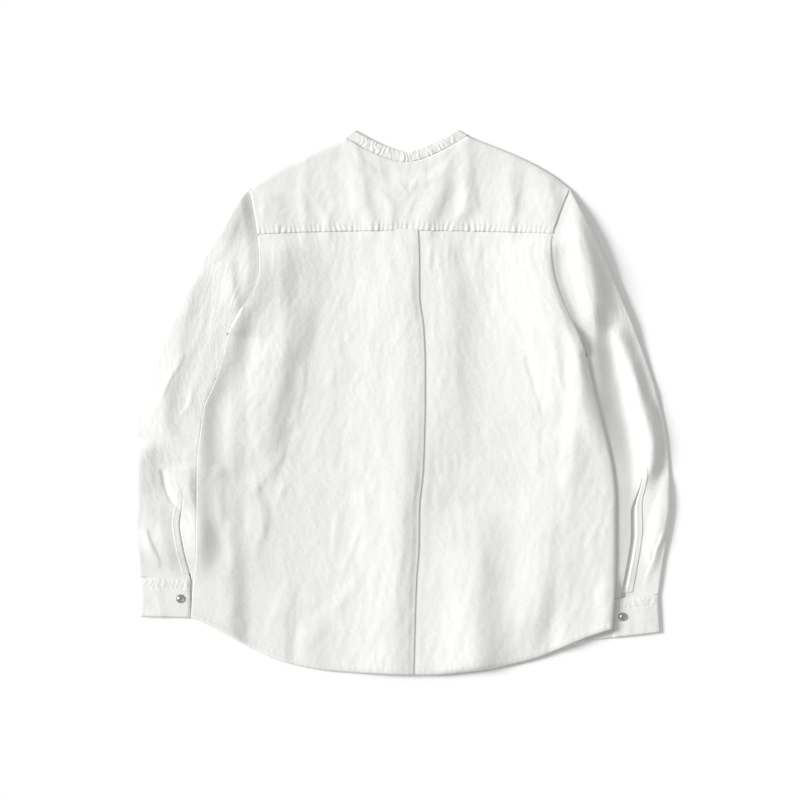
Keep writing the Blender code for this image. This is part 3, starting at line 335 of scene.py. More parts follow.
LEFT_SLEEVE_RIDGES = (
    Ridge(3.0, 20.0, 12.0, (
        (285, -228, 0), (265, -234, .8), (245, -240, 1), (220, -248, .5), (200, -250, 0))),
    Ridge(2.5, 22.0, 8.0, (
        (200, -240, 0), (190, -240, .7), (160, -237, 1), (140, -234, .6), (125, -230, 0))),
    Ridge(3.2, 26.0, 16.0, (
        (195, -270, 0), (160, -290, .8), (130, -302, .9), (100, -314, .6), (70, -314, .8),
        (40, -322, 1.1), (10, -332, 1.4), (-20, -332, 1.1), (-45, -328, .5), (-60, -330, 0))),
    Ridge(7.5, 9.0, 26.0, (
        (-50, -356, 0), (-70, -364, .8), (-90, -367, 1), (-110, -367, 1), (-130, -368, .6),
        (-160, -368, .2), (-180, -368, 0))),
    Ridge(4.2, 34.0, 12.0, (
        (-84, -296, 0), (-95, -298, .7), (-115, -298, 1), (-135, -296, .9), (-150, -292, .5),
        (-165, -290, 0))),
    crease(-1.2, 3.0, 6.0, (-336, -90), (-335, -100), (-328, -130), (-320, -142), (-308, -152),
           (-298, -164)),
    crease(0.8, 6.0, 2.6, (-307, 72), (-308, 65), (-313, 50), (-320, 40), (-330, 20), (-336, -2)),
    crease(0.8, 3.0, 6.0, (-296, 28), (-298, 0), (-304, -10), (-311, -22)),
    crease(1.4, 8.0, 3.0, (-358, -172), (-356, -182), (-350, -200), (-342, -222), (-343, -242)),
    crease(1.0, 3.0, 7.0, (-335, -222), (-326, -233), (-314, -246)),
    crease(0.9, 3.0, 6.0, (-220, 136), (-226, 124), (-232, 112), (-242, 92)),
)
RIGHT_SLEEVE_RIDGES = (
    Ridge(1.6, 12.0, 14.0, (
        (290, 236, 0), (270, 240, .8), (250, 244, 1), (220, 250, 1), (190, 255, 1),
        (160, 258, 1), (130, 260, 1), (110, 262, .6), (90, 264, 0))),
    Ridge(3.0, 40.0, 70.0, (
        (250, 262, 0), (220, 268, .8), (190, 275, 1), (130, 285, 1), (100, 290, .9),
        (80, 294, .5), (60, 300, 0))),
    Ridge(-5.5, 18.0, 13.0, (
        (140, 282, 0), (115, 284, .8), (85, 287, 1), (55, 289, .9), (25, 290, 0))),
    Ridge(-4.5, 22.0, 20.0, (
        (80, 288, 0), (60, 291, .5), (30, 295, 1), (0, 299, 1), (-30, 304, 1), (-70, 309, 1),
        (-110, 312, .7), (-140, 314, 0))),
    Ridge(8.0, 26.0, 15.0, (
        (110, 298, 0), (90, 303, .5), (60, 314, .8), (40, 320, 1), (10, 331, 1), (-20, 340, 1),
        (-50, 347, 1), (-80, 345, 1), (-110, 332, .95), (-140, 318, .8), (-155, 311, 0))),
    Ridge(-1.5, 8.0, 8.0, (
        (60, 330, 0), (40, 336, 1), (10, 344, 1), (-20, 362, 1), (-50, 366, 1), (-80, 366, 1),
        (-110, 358, 1), (-140, 350, 1), (-160, 343, 1), (-180, 339, 1), (-200, 338, 0))),
    Ridge(3.0, 18.0, 6.0, (
        (-100, 368, 0), (-120, 368, .8), (-150, 368, 1), (-180, 364, 1), (-210, 352, .6),
        (-240, 348, 0))),
    crease(1.2, 3.0, 6.0, (363, -182), (362, -190), (356, -205), (350, -225), (343, -240),
           (338, -260), (334, -284)),
    crease(0.9, 5.0, 2.6, (338, -192), (340, -200), (345, -212), (348, -234)),
)


def smoothstep(value):
    value = np.clip(value, 0.0, 1.0)
    return value * value * (3.0 - 2.0 * value)


def falloff(value):
    """1 up to 0, easing to 0 at 1 and beyond."""
    return 1.0 - smoothstep(value)


def lerp(start, end, t):
    return start + (end - start) * t


def through(keys, values, at):
    """The value at a key, on a smooth curve through the values, without overshoot."""
    order = np.argsort(keys)
    keys, values = np.asarray(keys, float)[order], np.asarray(values, float)[order]
    at = np.clip(at, keys[0], keys[-1])
    i = np.clip(np.searchsorted(keys, at) - 1, 0, len(keys) - 2)
    slopes = np.diff(values) / np.diff(keys)
    product, total = slopes[:-1] * slopes[1:], slopes[:-1] + slopes[1:]
    inner = np.where(product > 0.0, 2.0 * product / np.where(product > 0.0, total, 1.0), 0.0)
    tangents = np.concatenate((slopes[:1], inner, slopes[-1:]))
    width = keys[i + 1] - keys[i]
    t = (at - keys[i]) / width
    return ((2 * t**3 - 3 * t**2 + 1) * values[i] + (t**3 - 2 * t**2 + t) * width * tangents[i]
            + (3 * t**2 - 2 * t**3) * values[i + 1] + (t**3 - t**2) * width * tangents[i + 1])


def edge_x(rows, y):
    return through([row.y for row in rows], [row.x for row in rows], y)


def edge_y(rows, x):
    return through([row.x for row in rows], [row.y for row in rows], x)


def lengths_to(points):
    """Length of the line through flat points, from its start to each of them."""
    return np.concatenate(((0.0,), np.cumsum(np.hypot(*np.diff(points, axis=0).T))))


def along(points, t):
    """X and Y at fraction t of the length of a smooth line through the points."""
    points = np.asarray(points)
    lengths = lengths_to(points)
    return tuple(through(lengths / lengths[-1], points[:, k], t) for k in (0, 1))


# Relief and small creases of worn linen

LATTICE = 64                # cells of the noise before it repeats
LATTICE_RISE = 1.6          # brings its values to about -1 to 1


def lattice_noise(x, y, seed):
    """Smooth noise from about -1 to 1 over a unit lattice."""
    angles = np.random.default_rng(seed).random((LATTICE, LATTICE)) * math.tau
    x0, y0 = np.floor(x).astype(int), np.floor(y).astype(int)
    fx, fy = x - x0, y - y0
    sx, sy = smoothstep(fx), smoothstep(fy)

    def corner(i, j):
        angle = angles[(x0 + i) % LATTICE, (y0 + j) % LATTICE]
        return np.cos(angle) * (fx - i) + np.sin(angle) * (fy - j)

    low = lerp(corner(0, 0), corner(1, 0), sx)
    high = lerp(corner(0, 1), corner(1, 1), sx)
    return LATTICE_RISE * lerp(low, high, sy)


# A kind of smooth unevenness: its rise, the width and length of its spots, and its seed
Uneven = namedtuple("Uneven", "rise width length seed")


def uneven(kind, x, y, seed=0):
    return kind.rise * lattice_noise(x / kind.width, y / kind.length, kind.seed + seed)


RELIEF_WANDER = Uneven(2.0, 40.0, 55.0, 71)     # how far the ridges wander from their crests


def relief(ridges, x, y):
    """How much the ridges raise the cloth. One whose end still has a share runs on from there."""
    x, y = (np.array(value) for value in np.broadcast_arrays(x, y))
    x = x + uneven(RELIEF_WANDER, x, y)
    total = np.zeros(x.shape)
    for ridge in ridges:
        rows, places, shares = zip(*ridge.crest)
        (low, _, low_share), *_, (high, _, high_share) = sorted(ridge.crest)
        near = ((y > low) | (low_share > 0)) & ((y < high) | (high_share > 0))
        aside = x[near] - through(rows, places, y[near])
        reach = np.where(aside > 0.0, ridge.right, ridge.left)
        total[near] += ridge.rise * through(rows, shares, y[near]) * np.exp(-(aside / reach) ** 2)
    return total


# Crumple of the cloth, as streaks of four sizes that wander and fade in patches
Streak = namedtuple("Streak", "width length height lean")
STREAKS = (
    Streak(30.0, 150.0, 0.42, 0.05), Streak(17.0, 80.0, 0.30, -0.14),
    Streak(10.0, 30.0, 0.30, 0.22), Streak(7.0, 14.0, 0.20, -0.35),
)
STREAK_SEEDS = 10           # from the seeds of one size of streak to those of the next
STREAK_WANDER = Uneven(0.5, 60.0, 45.0, 1)
STREAK_PATCHES = Uneven(0.5, 90.0, 120.0, 2)
STREAK_SHARE = 0.65         # middle share of the streaks' height, which changes in patches


def crumple(u, v, seed):
    """Uneven streaks that run along v, in millimetres."""
    total = 0.0
    for k, streak in enumerate(STREAKS):
        own = seed + STREAK_SEEDS * k
        across = (u + streak.lean * v) / streak.width + uneven(STREAK_WANDER, u, v, own)
        patch = STREAK_SHARE + uneven(STREAK_PATCHES, u, v, own)
        streaks = lattice_noise(across, v / streak.length, own)
        total = total + streak.height * patch * streaks
    return total


# Heights of the layers

def sleeve_below(x, y):
    """1 where a sleeve lies under the body, easing to 0 beside it."""
    cover = 0.0
    for sleeve in (LEFT_SLEEVE, RIGHT_SLEEVE):
        underarm = sleeve.inner[0]
        rows = [Edge(point[1], point[0]) for point in sleeve.inner]
        inside = (x - edge_x(rows, y)) * -sleeve.side
        beside = falloff((inside - COVER_INSET) / COVER_EASE)
        below = falloff((y - underarm[1]) / UNDERARM_EASE - 0.5)
        cover = np.maximum(cover, beside * below)
    return cover


def cuff_lap_below(x, y):
    """1 where the right cuff's lapped end lies under the body, easing to 0 round it."""
    start, full = CUFF_LAP_X
    low, low_full, high_full, high = CUFF_LAP_Y
    down = smoothstep((y - low) / (low_full - low))
    up = smoothstep((high - y) / (high - high_full))
    return smoothstep((x - start) / (full - start)) * down * up


def front_height(x, y, band_level, ease=BAND_EASE):
    """Height of the middle of a front panel, which rises to its band and over a sleeve."""
    to_band = falloff((np.abs(x - CENTRE) - BAND_WIDTH / 2) / ease)
    height = LAYER / 2 + (band_level - LAYER / 2) * to_band
    height = height + (FRONT_OVER_SLEEVE - LAYER / 2) * sleeve_below(x, y)
    return height + CUFF_LAP_RISE * cuff_lap_below(x, y) + relief(SWELL + BODY_SWELL, x, y)


def back_rest_height(x, y):
    """Height of the back where it rests on the fronts, and on the collar inside the neck."""
    neck = falloff((y - front_neck_y(x) - COLLAR_HEIGHT) / COLLAR_EASE)
    front = front_height(x, y, INNER_BAND_LEVEL, BACK_BAND_EASE)
    band = front_height(x, y, LAYER / 2)
    return lerp(band, front, neck) + STEP


# Outlines

def neck_y(x, left, right, drop, power):
    middle = (left[0] + right[0]) / 2
    share = (x - middle) / (right[0] - left[0]) * 2
    straight = lerp(left[1], right[1], (share + 1.0) / 2)
    return straight - drop * (1.0 - np.minimum(np.abs(share), 1.0) ** power)


def front_neck_y(x):
    return neck_y(x, NECK_LEFT, NECK_RIGHT, FRONT_NECK_DROP, FRONT_NECK_POWER)


def shoulder_y(x, neck):
    """Y of a shoulder, or of the given neckline between the shoulders."""
    y = np.where(x < NECK_LEFT[0], edge_y(LEFT_SHOULDER, x), neck)
    return np.where(x > NECK_RIGHT[0], edge_y(RIGHT_SHOULDER, x), y)


def back_top_y(x):
    return shoulder_y(x, neck_y(x, NECK_LEFT, NECK_RIGHT, BACK_NECK_DROP, BACK_NECK_POWER))


def front_top_y(x):
    return shoulder_y(x, front_neck_y(x))


def yoke_seam_y(x):
    half = (edge_x(RIGHT_EDGE, YOKE_SEAM) - edge_x(LEFT_EDGE, YOKE_SEAM)) / 2
    return YOKE_SEAM - YOKE_SEAM_DROP * ((x - CENTRE) / half) ** 2


def seam_end(edge):
    """Where the yoke seam meets the armhole at a side edge."""
    y = YOKE_SEAM - YOKE_SEAM_DROP
    return float(edge_x(edge, y)), y


def rolled(distance, reach):
    """0 at a folded edge, rising on a round turn to 1 at the reach."""
    inward = np.clip(distance / reach, 0.0, 1.0)
    return np.sqrt(1.0 - (1.0 - inward) ** 2)


# Loft of the body's upper cloth over what it rests on

YOKE_LOWEST = 243.2         # the yoke's ridges keep their form from here down to its seam
SEAM_BLEND = 26.0           # the back's ridges start from the yoke's over this stretch
LEAST_LOFT = 0.15           # least loft of the back and the yoke


def yoke_relief(x, y):
    return relief(YOKE_RIDGES, x, np.maximum(y, YOKE_LOWEST))


def body_relief(x, y):
    """Relief of the back and the yoke, which meet at the same height on their seam."""
    below = smoothstep((yoke_seam_y(x) - y) / SEAM_BLEND)
    return lerp(yoke_relief(x, y), relief(BACK_RIDGES, x, y), below)


def body_loft(x, y, small):
    """How far the upper cloth stands over what it rests on, with its own small crumple."""
    return np.maximum(AIR + body_relief(x, y) + small, LEAST_LOFT)


# Meshes

Cut = namedtuple("Cut", "width length area")


def grid(*values):
    """Values that belong together at each point, stacked over one grid."""
    return np.stack(np.broadcast_arrays(*values), axis=-1).astype(float)


def new_mesh(name, places, faces):
    """A smooth mesh through places in metres, whose faces all have as many corners."""
    mesh = bpy.data.meshes.new(name)
    mesh.vertices.add(len(places))
    mesh.vertices.foreach_set("co", places.ravel())
    mesh.loops.add(faces.size)
    mesh.loops.foreach_set("vertex_index", faces.ravel())
    mesh.polygons.add(len(faces))
    mesh.polygons.foreach_set("loop_start", np.arange(0, faces.size, faces.shape[-1]))
    mesh.update(calc_edges=True)
    mesh.shade_smooth()
    mesh.validate()
    return mesh


def linen_sheet(name, points, weave, thickness, joined=None):
    """A sheet of cloth through a grid of points, thickened to a shell.

    Points and weave have rows down the cloth and columns across it, and the weave follows the
    threads. Where joined is true, a row's last point is its first one.
    """
    rows, columns = points.shape[:2]
    index = np.arange(rows * columns).reshape(rows, columns)
    if joined is not None:
        index[joined, -1] = index[joined, 0]
    corners = np.stack((index[:-1, :-1], index[1:, :-1], index[1:, 1:], index[:-1, 1:]), axis=-1)
    used, corners = np.unique(corners.reshape(-1, 4), return_inverse=True)
    places = ((points - MIDDLE) * MM).reshape(-1, 3)[used]
    mesh = new_mesh(name, places, corners.reshape(-1, 4))
    cells = np.stack((weave[:-1, :-1], weave[1:, :-1], weave[1:, 1:], weave[:-1, 1:]), axis=2)
    layer = mesh.uv_layers.new(name="weave")
    layer.uv.foreach_set("vector", (cells.reshape(-1, 2) * MM).ravel())
    piece = add_piece(name, mesh)
    solidify = piece.modifiers.new("Cloth", "SOLIDIFY")
    solidify.thickness = thickness
    solidify.offset = 0.0
    return piece


def add_piece(name, mesh):
    piece = bpy.data.objects.new(name, mesh)
    bpy.context.scene.collection.objects.link(piece)
    return piece


def finish_piece(piece, material, slot, *nodes):
    """Gives a piece its material and puts it in the place of the CAD nodes; the slot is not used.
    """
    piece.data.materials.clear()
    piece.data.materials.append(material)
    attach(piece, "root")
    if nodes:
        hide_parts(*nodes)
    return piece


def facing_up(sleeve, points, weave):
    """Turns a sleeve's grid so that its faces point up on both sides of the shirt."""
    if sleeve.side < 0:
        return points[:, ::-1], weave[:, ::-1]
    return points, weave


# Back

BACK_ACROSS = 1.8           # spacing of the back's points across and down
BACK_DOWN = 3.0
BACK_EDGE_SHARE = 0.15      # share of the spacing to an extra column that keeps the edge crisp
BACK_LENGTH = 625.0
BACK_HALF_WIDTHS = (300.0, 278.0)
BACK_CRUMPLE = (540.0, 620.0)           # width and length that the crumple is drawn over
BACK_SEED = 11
SIDE_EASE = 12.0            # height over which the sides come free of the armhole seams
LEFT_LOW = 0.35             # share of the loft at the left edge, which grows over the ease
LEFT_EASE = 60.0
RIGHT_ROLL = 13.0           # reach of the rolled right edge
SEAM_TUCK = 3.0             # the back's upper edge lies this far under the yoke
SEAM_STEP = 0.75            # and this much lower there
SEAM_STEP_REACH = 5.0
HEM_WIDTH = 7.0             # height of the turned-up hem
HEM_STEP = 0.45             # it stands this much over the back
HEM_STEP_REACH = 1.5
HEM_PUCKER_RISE = 0.28
HEM_PUCKERS = 74
HEM_PUCKER_START = 1 / 90   # share of the length over which the puckers start from the edge
HEM_PUCKER_FULL = 3.0       # they are full up to here and fade over the reach
HEM_PUCKER_REACH = 12.0
HEM_WANDER = Uneven(0.7, 1 / 23, 20.0, 15)
# Rolled side edge: how far each point lies outwards, up and on along the cloth
UNDERTURN = ((0.3, -0.25, 1.0), (-0.1, -0.55, 2.0), (-2.5, -0.75, 3.0))

# Centre back pleat
PLEAT_EDGE = edge_line(
    (240, 21.5), (200, 23), (150, 23), (100, 29), (50, 31), (0, 31), (-50, 30), (-100, 28),
    (-150, 23), (-200, 22.5), (-250, 19), (-381, 15))
PLEAT_BESIDE = ((240.0, 0.1), (-120.0, 0.2), (-200.0, 0.3), (-260.0, 0.4), (-381.0, 0.4))
PLEAT_BESIDE_START = 1.2    # the right half rises from this far beside the fold
PLEAT_BESIDE_EASE = 9.0     # within this width
PLEAT_BESIDE_REACH = 45.0   # and comes down again over this one
PLEAT_DEPTH = 17.0          # of the folded-under part
PLEAT_TURN = 0.3            # radius of its folds
PLEAT_HEM_TURN = 0.27
PLEAT_SHORTENS = -190.0     # the pleat grows short and flat from this Y to the next
PLEAT_SHORT = -310.0
PLEAT_HEM_DEPTH = 3.0
PLEAT_LIFT_EASE = 60.0      # width over which the upper layer comes down to the back
PLEAT_LEVEL_EASE = 10.0
PLEAT_SLOPE = 0.9           # the upper layer falls by this much towards its folded edge
PLEAT_SLOPE_REACH = 9.0
PLEAT_SETTLE = 16.0         # width over which the right half leaves the pleat's level
PLEAT_INSIDE = 6.0          # from the inner fold to where the back's two halves meet
PLEAT_MOUTH_SHARE = 0.4     # the most of the depth that this may take
PLEAT_POINTS = (7, (0.33, 0.66, 1.0), 6)        # round its edge, along it, round its inner fold


def back_edges(v):
    left_y = lerp(seam_end(LEFT_EDGE)[1], HEM[0].y, v)
    right_y = lerp(seam_end(RIGHT_EDGE)[1], HEM[-1].y, v)
    return (edge_x(LEFT_EDGE, left_y), left_y), (edge_x(RIGHT_EDGE, right_y), right_y)


def back_surface(v, x):
    """The back panel's points at fractions v down from the yoke seam, at the places x."""
    (left, left_y), (right, right_y) = back_edges(v)
    u = (x - left) / (right - left)
    top_x = lerp(seam_end(LEFT_EDGE)[0], seam_end(RIGHT_EDGE)[0], u)
    hem_x = lerp(HEM[0].x, HEM[-1].x, u)
    seam = yoke_seam_y(top_x)
    y = lerp(seam + SEAM_TUCK, edge_y(HEM, hem_x), v)
    below_left = smoothstep((LEFT_SLEEVE.inner[0][1] - left_y) / SIDE_EASE + 0.5)
    below_right = smoothstep((RIGHT_SLEEVE.inner[0][1] - right_y) / SIDE_EASE + 0.5)
    left_side = lerp(LEFT_LOW, 1.0, smoothstep((x - left) / LEFT_EASE))
    side = np.minimum(lerp(1.0, left_side, below_left),
                      lerp(1.0, rolled(right - x, RIGHT_ROLL), below_right))
    to_hem = (1.0 - v) * (YOKE_SEAM - HEM[0].y)
    roll = np.minimum(side, lerp(HEM_ROLL, 1.0, rolled(to_hem, HEM_REACH)))
    width, length = BACK_CRUMPLE
    small = crumple(u * width, v * length, BACK_SEED)
    z = back_rest_height(x, y) + body_loft(x, y, small) * roll
    z = z - SEAM_STEP * smoothstep((y - seam + SEAM_STEP_REACH) / SEAM_STEP_REACH)
    z = z + HEM_STEP * falloff((to_hem - HEM_WIDTH) / HEM_STEP_REACH)
    count = u * HEM_PUCKERS + uneven(HEM_WANDER, u, to_hem)
    at_hem = (smoothstep((1.0 - v) / HEM_PUCKER_START)
              * falloff((to_hem - HEM_PUCKER_FULL) / HEM_PUCKER_REACH))
    z = z + HEM_PUCKER_RISE * at_hem * (0.5 + 0.5 * np.sin(count * math.tau))
    return x, y, z


def pleat_edge_x(v):
    return edge_x(PLEAT_EDGE, lerp(YOKE_SEAM, HEM_LOWEST, v))


def pleat_size(v):
    """Depth and fold radius of the pleat, which grows short and flat towards the hem."""
    y = back_surface(v, np.full(v.shape, CENTRE))[1]
    full = smoothstep((y - PLEAT_SHORT) / (PLEAT_SHORTENS - PLEAT_SHORT))
    return lerp(PLEAT_HEM_DEPTH, PLEAT_DEPTH, full), lerp(PLEAT_HEM_TURN, PLEAT_TURN, full)


def pleat_mouth(depth):
    return np.minimum(PLEAT_INSIDE, depth * PLEAT_MOUTH_SHARE)


def back_rows():
    return np.linspace(0.0, 1.0, int(BACK_LENGTH / BACK_DOWN))[:, None]


def pleat_under(fold_x, depth, turn):
    """The pleat's folded-under part: X, height and way along it, from its folded edge on."""
    outer, ways, inner = PLEAT_POINTS
    for angle in np.linspace(0.0, math.pi, outer)[1:]:
        yield fold_x - turn + turn * np.sin(angle), 3 * turn + turn * np.cos(angle), turn * angle
    for t in ways:
        way = t * (depth - turn)
        yield fold_x - turn - way, 2 * turn, turn * math.pi + way
    for angle in np.linspace(0.0, math.pi, inner)[1:]:
        way = turn * math.pi + depth - turn + turn * angle
        yield fold_x - depth - turn * np.sin(angle), turn + turn * np.cos(angle), way
    inside = pleat_mouth(depth)
    yield fold_x - depth + inside, 0.0 * turn, depth + inside + turn * math.tau


def make_back_left(thickness):
    """From the left side to the folded edge, and back under it to inside the pleat."""
    v = back_rows()
    left = back_edges(v)[0][0]
    fold_x, (depth, turn) = pleat_edge_x(v), pleat_size(v)
    base = back_surface(v, fold_x)[2]
    across = np.linspace(0.0, 1.0, int(BACK_HALF_WIDTHS[0] / BACK_ACROSS))
    across = np.insert(across, 1, across[1] * BACK_EDGE_SHARE)[None, :]
    x, y, z = back_surface(v, lerp(left, fold_x - turn, across))
    to_fold = fold_x - turn - x
    z = lerp(z, base, falloff(to_fold / PLEAT_LEVEL_EASE))
    z = z + 4 * turn * falloff(to_fold / PLEAT_LIFT_EASE)
    z = z + PLEAT_SLOPE * (smoothstep(to_fold / PLEAT_SLOPE_REACH)
                           - smoothstep(to_fold / PLEAT_LIFT_EASE))
    under_x, under_z, under_u = (np.concatenate(part, axis=1)
                                 for part in zip(*pleat_under(fold_x, depth, turn)))
    under_y = back_surface(v, under_x)[1]
    u = x - fold_x
    side = [(left - out, y[:, :1], z[:, :1] + up) for out, up, _ in UNDERTURN[::-1]]
    side_u = [u[:, :1] - on for *_, on in UNDERTURN[::-1]]
    x, y, z = (np.concatenate([part[k] for part in side] + [top, under], axis=1)
               for k, (top, under) in enumerate(((x, under_x), (y, under_y), (z, under_z + base))))
    u = np.concatenate(side_u + [u, under_u], axis=1)
    return linen_sheet("back_left", grid(x, y, z), grid(u, y), thickness)


def make_back_right(thickness):
    """From inside the pleat to the right side."""
    v = back_rows()
    right = back_edges(v)[1][0]
    fold_x, (depth, turn) = pleat_edge_x(v), pleat_size(v)
    base = back_surface(v, fold_x)[2]
    across = np.linspace(0.0, 1.0, int(BACK_HALF_WIDTHS[1] / BACK_ACROSS))[None, :]
    x, y, z = back_surface(v, lerp(fold_x - depth + pleat_mouth(depth), right, across))
    z = lerp(base, z, smoothstep((x - fold_x) / PLEAT_SETTLE))
    beside = through(*zip(*PLEAT_BESIDE), lerp(YOKE_SEAM, HEM_LOWEST, v)) * 4 * turn
    aside = x - fold_x - PLEAT_BESIDE_START
    z = z + (beside * smoothstep(aside / PLEAT_BESIDE_EASE)
             * falloff(aside / PLEAT_BESIDE_REACH))
    u = x - fold_x + 2.0 * depth
    side = [(right + out, y[:, -1:], z[:, -1:] + up) for out, up, _ in UNDERTURN]
    x, y, z = (np.concatenate([top] + [part[k] for part in side], axis=1)
               for k, top in enumerate((x, y, z)))
    u = np.concatenate([u] + [u[:, -1:] + on for *_, on in UNDERTURN], axis=1)
    return linen_sheet("back_right", grid(x, y, z), grid(u, y), thickness)


# Yoke

YOKE_ACROSS = 1.9
YOKE_DOWN = 2.2
YOKE_SIZE = (430.0, 130.0)
YOKE_SEED = 211
YOKE_NECK = (0.3, 0.7)      # fractions across the yoke where its neck starts and ends
YOKE_END_POWER = 4          # how soon the armholes' curves fade across the yoke
YOKE_ROLL = 9.0             # reach of the roll at its upper edge
YOKE_NECK_HALF = 84.0       # half the width of the neck, where the yoke meets the collar
YOKE_NECK_EASE = 12.0
YOKE_NECK_SHARE = 0.8       # share of the loft left at the neck seam
YOKE_SHOULDER_SHARE = 0.15  # and at the shoulders
PUCKERS = 58                # along the yoke's lower seam
PUCKER_RISE = 0.7
PUCKER_FLAT = 2.0           # they are full up to here over the seam and fade over the reach
PUCKER_REACH = 15.0
PUCKER_WANDER = Uneven(0.6, 1 / 21, 30.0, 5)
PUCKER_SHARE = 0.65         # the puckers' middle share of their rise, which changes along the seam
PUCKER_SHARES = Uneven(0.7, 1 / 31, 1.0, 6)
PUCKER_PLACE = (7 / 31, 0.5)            # where along and across its spots that change starts


def yoke_surface(u, v):
    """The yoke's points at fractions u across and v up from its lower seam."""
    high_x = through((0.0, *YOKE_NECK, 1.0),
                     (LEFT_SHOULDER[0].x, NECK_LEFT[0], NECK_RIGHT[0], RIGHT_SHOULDER[-1].x), u)
    low_x = lerp(seam_end(LEFT_EDGE)[0], seam_end(RIGHT_EDGE)[0], u)
    low, high = yoke_seam_y(low_x), back_top_y(high_x)
    x, y = lerp(low_x, high_x, v), lerp(low, high, v)
    for edge, share in ((LEFT_EDGE, 1.0 - u), (RIGHT_EDGE, u)):
        end_x, end_y = seam_end(edge)
        armhole = edge_x(edge, lerp(end_y, edge[0].y, v))
        x = x + share**YOKE_END_POWER * (armhole - lerp(end_x, edge[0].x, v))
    loft = body_loft(x, y, crumple(x, y, YOKE_SEED))
    at_neck = smoothstep((YOKE_NECK_HALF - np.abs(high_x - CENTRE)) / YOKE_NECK_EASE)
    edge_share = lerp(YOKE_SHOULDER_SHARE, YOKE_NECK_SHARE, at_neck)
    z = back_rest_height(x, y) + loft * lerp(edge_share, 1.0, rolled(high - y, YOKE_ROLL))
    above = y - low
    count = u * PUCKERS + uneven(PUCKER_WANDER, u, above)
    share = PUCKER_SHARE + uneven(PUCKER_SHARES, u + PUCKER_PLACE[0], PUCKER_PLACE[1])
    ripple = PUCKER_RISE * share * np.sin(count * math.tau)
    z = z + ripple * falloff((above - PUCKER_FLAT) / PUCKER_REACH)
    return x, y, z


def make_yoke(thickness):
    u = np.linspace(0.0, 1.0, int(YOKE_SIZE[0] / YOKE_ACROSS))[None, :]
    v = np.linspace(0.0, 1.0, int(YOKE_SIZE[1] / YOKE_DOWN))[::-1, None]
    x, y, z = yoke_surface(u, v)
    return linen_sheet("yoke_cloth", grid(x, y, z), grid(x, y), thickness)


# Fronts and front bands

FRONT_GRID = 5.0
FRONT_LENGTH = 660.0
FRONT_WIDTH = 300.0
FRONT_SIDE_INSET = 3.5      # the fronts stay this far inside the back's side edges
BAND_ROWS = 140
BAND_COLUMNS = 11


def make_front(name, sleeve, band_level, thickness):
    side, underarm = sleeve.side, sleeve.inner[0]
    edge = SIDE_EDGES[side]
    shoulder, hem_side = edge[0], HEM[0] if side < 0 else HEM[-1]
    centre_x = CENTRE + side * (BAND_WIDTH / 2 + GAP)
    v = np.linspace(0.0, 1.0, int(FRONT_LENGTH / FRONT_GRID))[:, None]
    tops = np.linspace(shoulder.x, centre_x, int(FRONT_WIDTH / FRONT_GRID))[None, ::-side]
    side_y = lerp(shoulder.y, hem_side.y + FRONT_INSET, v)
    inset = FRONT_SIDE_INSET * smoothstep((underarm[1] - side_y) / UNDERARM_EASE)
    side_x = edge_x(edge, side_y) - side * inset
    u = (tops - shoulder.x) / (centre_x - shoulder.x)
    x = lerp(side_x, centre_x, u)
    hem_x = lerp(hem_side.x, centre_x, u)
    y = lerp(front_top_y(tops), edge_y(HEM, hem_x) + FRONT_INSET, v)
    return linen_sheet(name, grid(x, y, front_height(x, y, band_level)), grid(x, y), thickness)


def make_front_band(name, level, thickness):
    v = np.linspace(0.0, 1.0, BAND_ROWS)[:, None]
    half = BAND_WIDTH / 2
    x = np.linspace(CENTRE - half, CENTRE + half, BAND_COLUMNS)[None, :]
    y = lerp(front_neck_y(x) - 2 * FRONT_INSET, edge_y(HEM, x) + FRONT_INSET, v)
    return linen_sheet(name, grid(x, y, level), grid(x, y), thickness)


# Collar

COLLAR_COLUMNS = 11
COLLAR_ROWS = (40, 9, 230)  # on each front end, round each fold and along the back
COLLAR_FRONT_END = 0.985
COLLAR_FRONT_EASE = (0.25, 0.3)
COLLAR_PUCKERS = 19
COLLAR_PUCKER_RISE = 1.1
COLLAR_BACK_END = 0.95
COLLAR_BACK_FADE = 0.1
COLLAR_CROWN = 0.5          # how much the band's middle stands over its sewn edges
COLLAR_WANDER = Uneven(0.9, 1 / 8, 1 / 1.3, 31)
COLLAR_SHARE = 0.6          # the puckers' middle share of their rise, and the least one
COLLAR_LEAST = 0.15
COLLAR_SHARES = Uneven(1.1, 1 / 11, 1 / 0.9, 32)
COLLAR_PUCKER_LEAN = 0.35   # share of a pucker by which it leans over the band's width
COLLAR_PUCKER_LOSS = 0.4    # share of its rise that it loses there


def collar_section(c, front):
    """The seam and free edge of the band, from its left end, c = -1, to its right end."""
    drop = FRONT_NECK_DROP if front else BACK_NECK_DROP
    power = FRONT_NECK_POWER if front else BACK_NECK_POWER
    share = (c + 1.0) / 2
    seam_x = lerp(NECK_LEFT[0], NECK_RIGHT[0], share)
    free_x, tips_y = lerp(TIP_LEFT[0], TIP_RIGHT[0], share), lerp(TIP_LEFT[1], TIP_RIGHT[1], share)
    free_drop = drop - COLLAR_HEIGHT + tips_y - lerp(NECK_LEFT[1], NECK_RIGHT[1], share)
    seam_y = neck_y(seam_x, NECK_LEFT, NECK_RIGHT, drop, power)
    free_power = power if front else COLLAR_EDGE_POWER
    return (seam_x, seam_y), (free_x, tips_y - free_drop * (1.0 - np.abs(c) ** free_power))


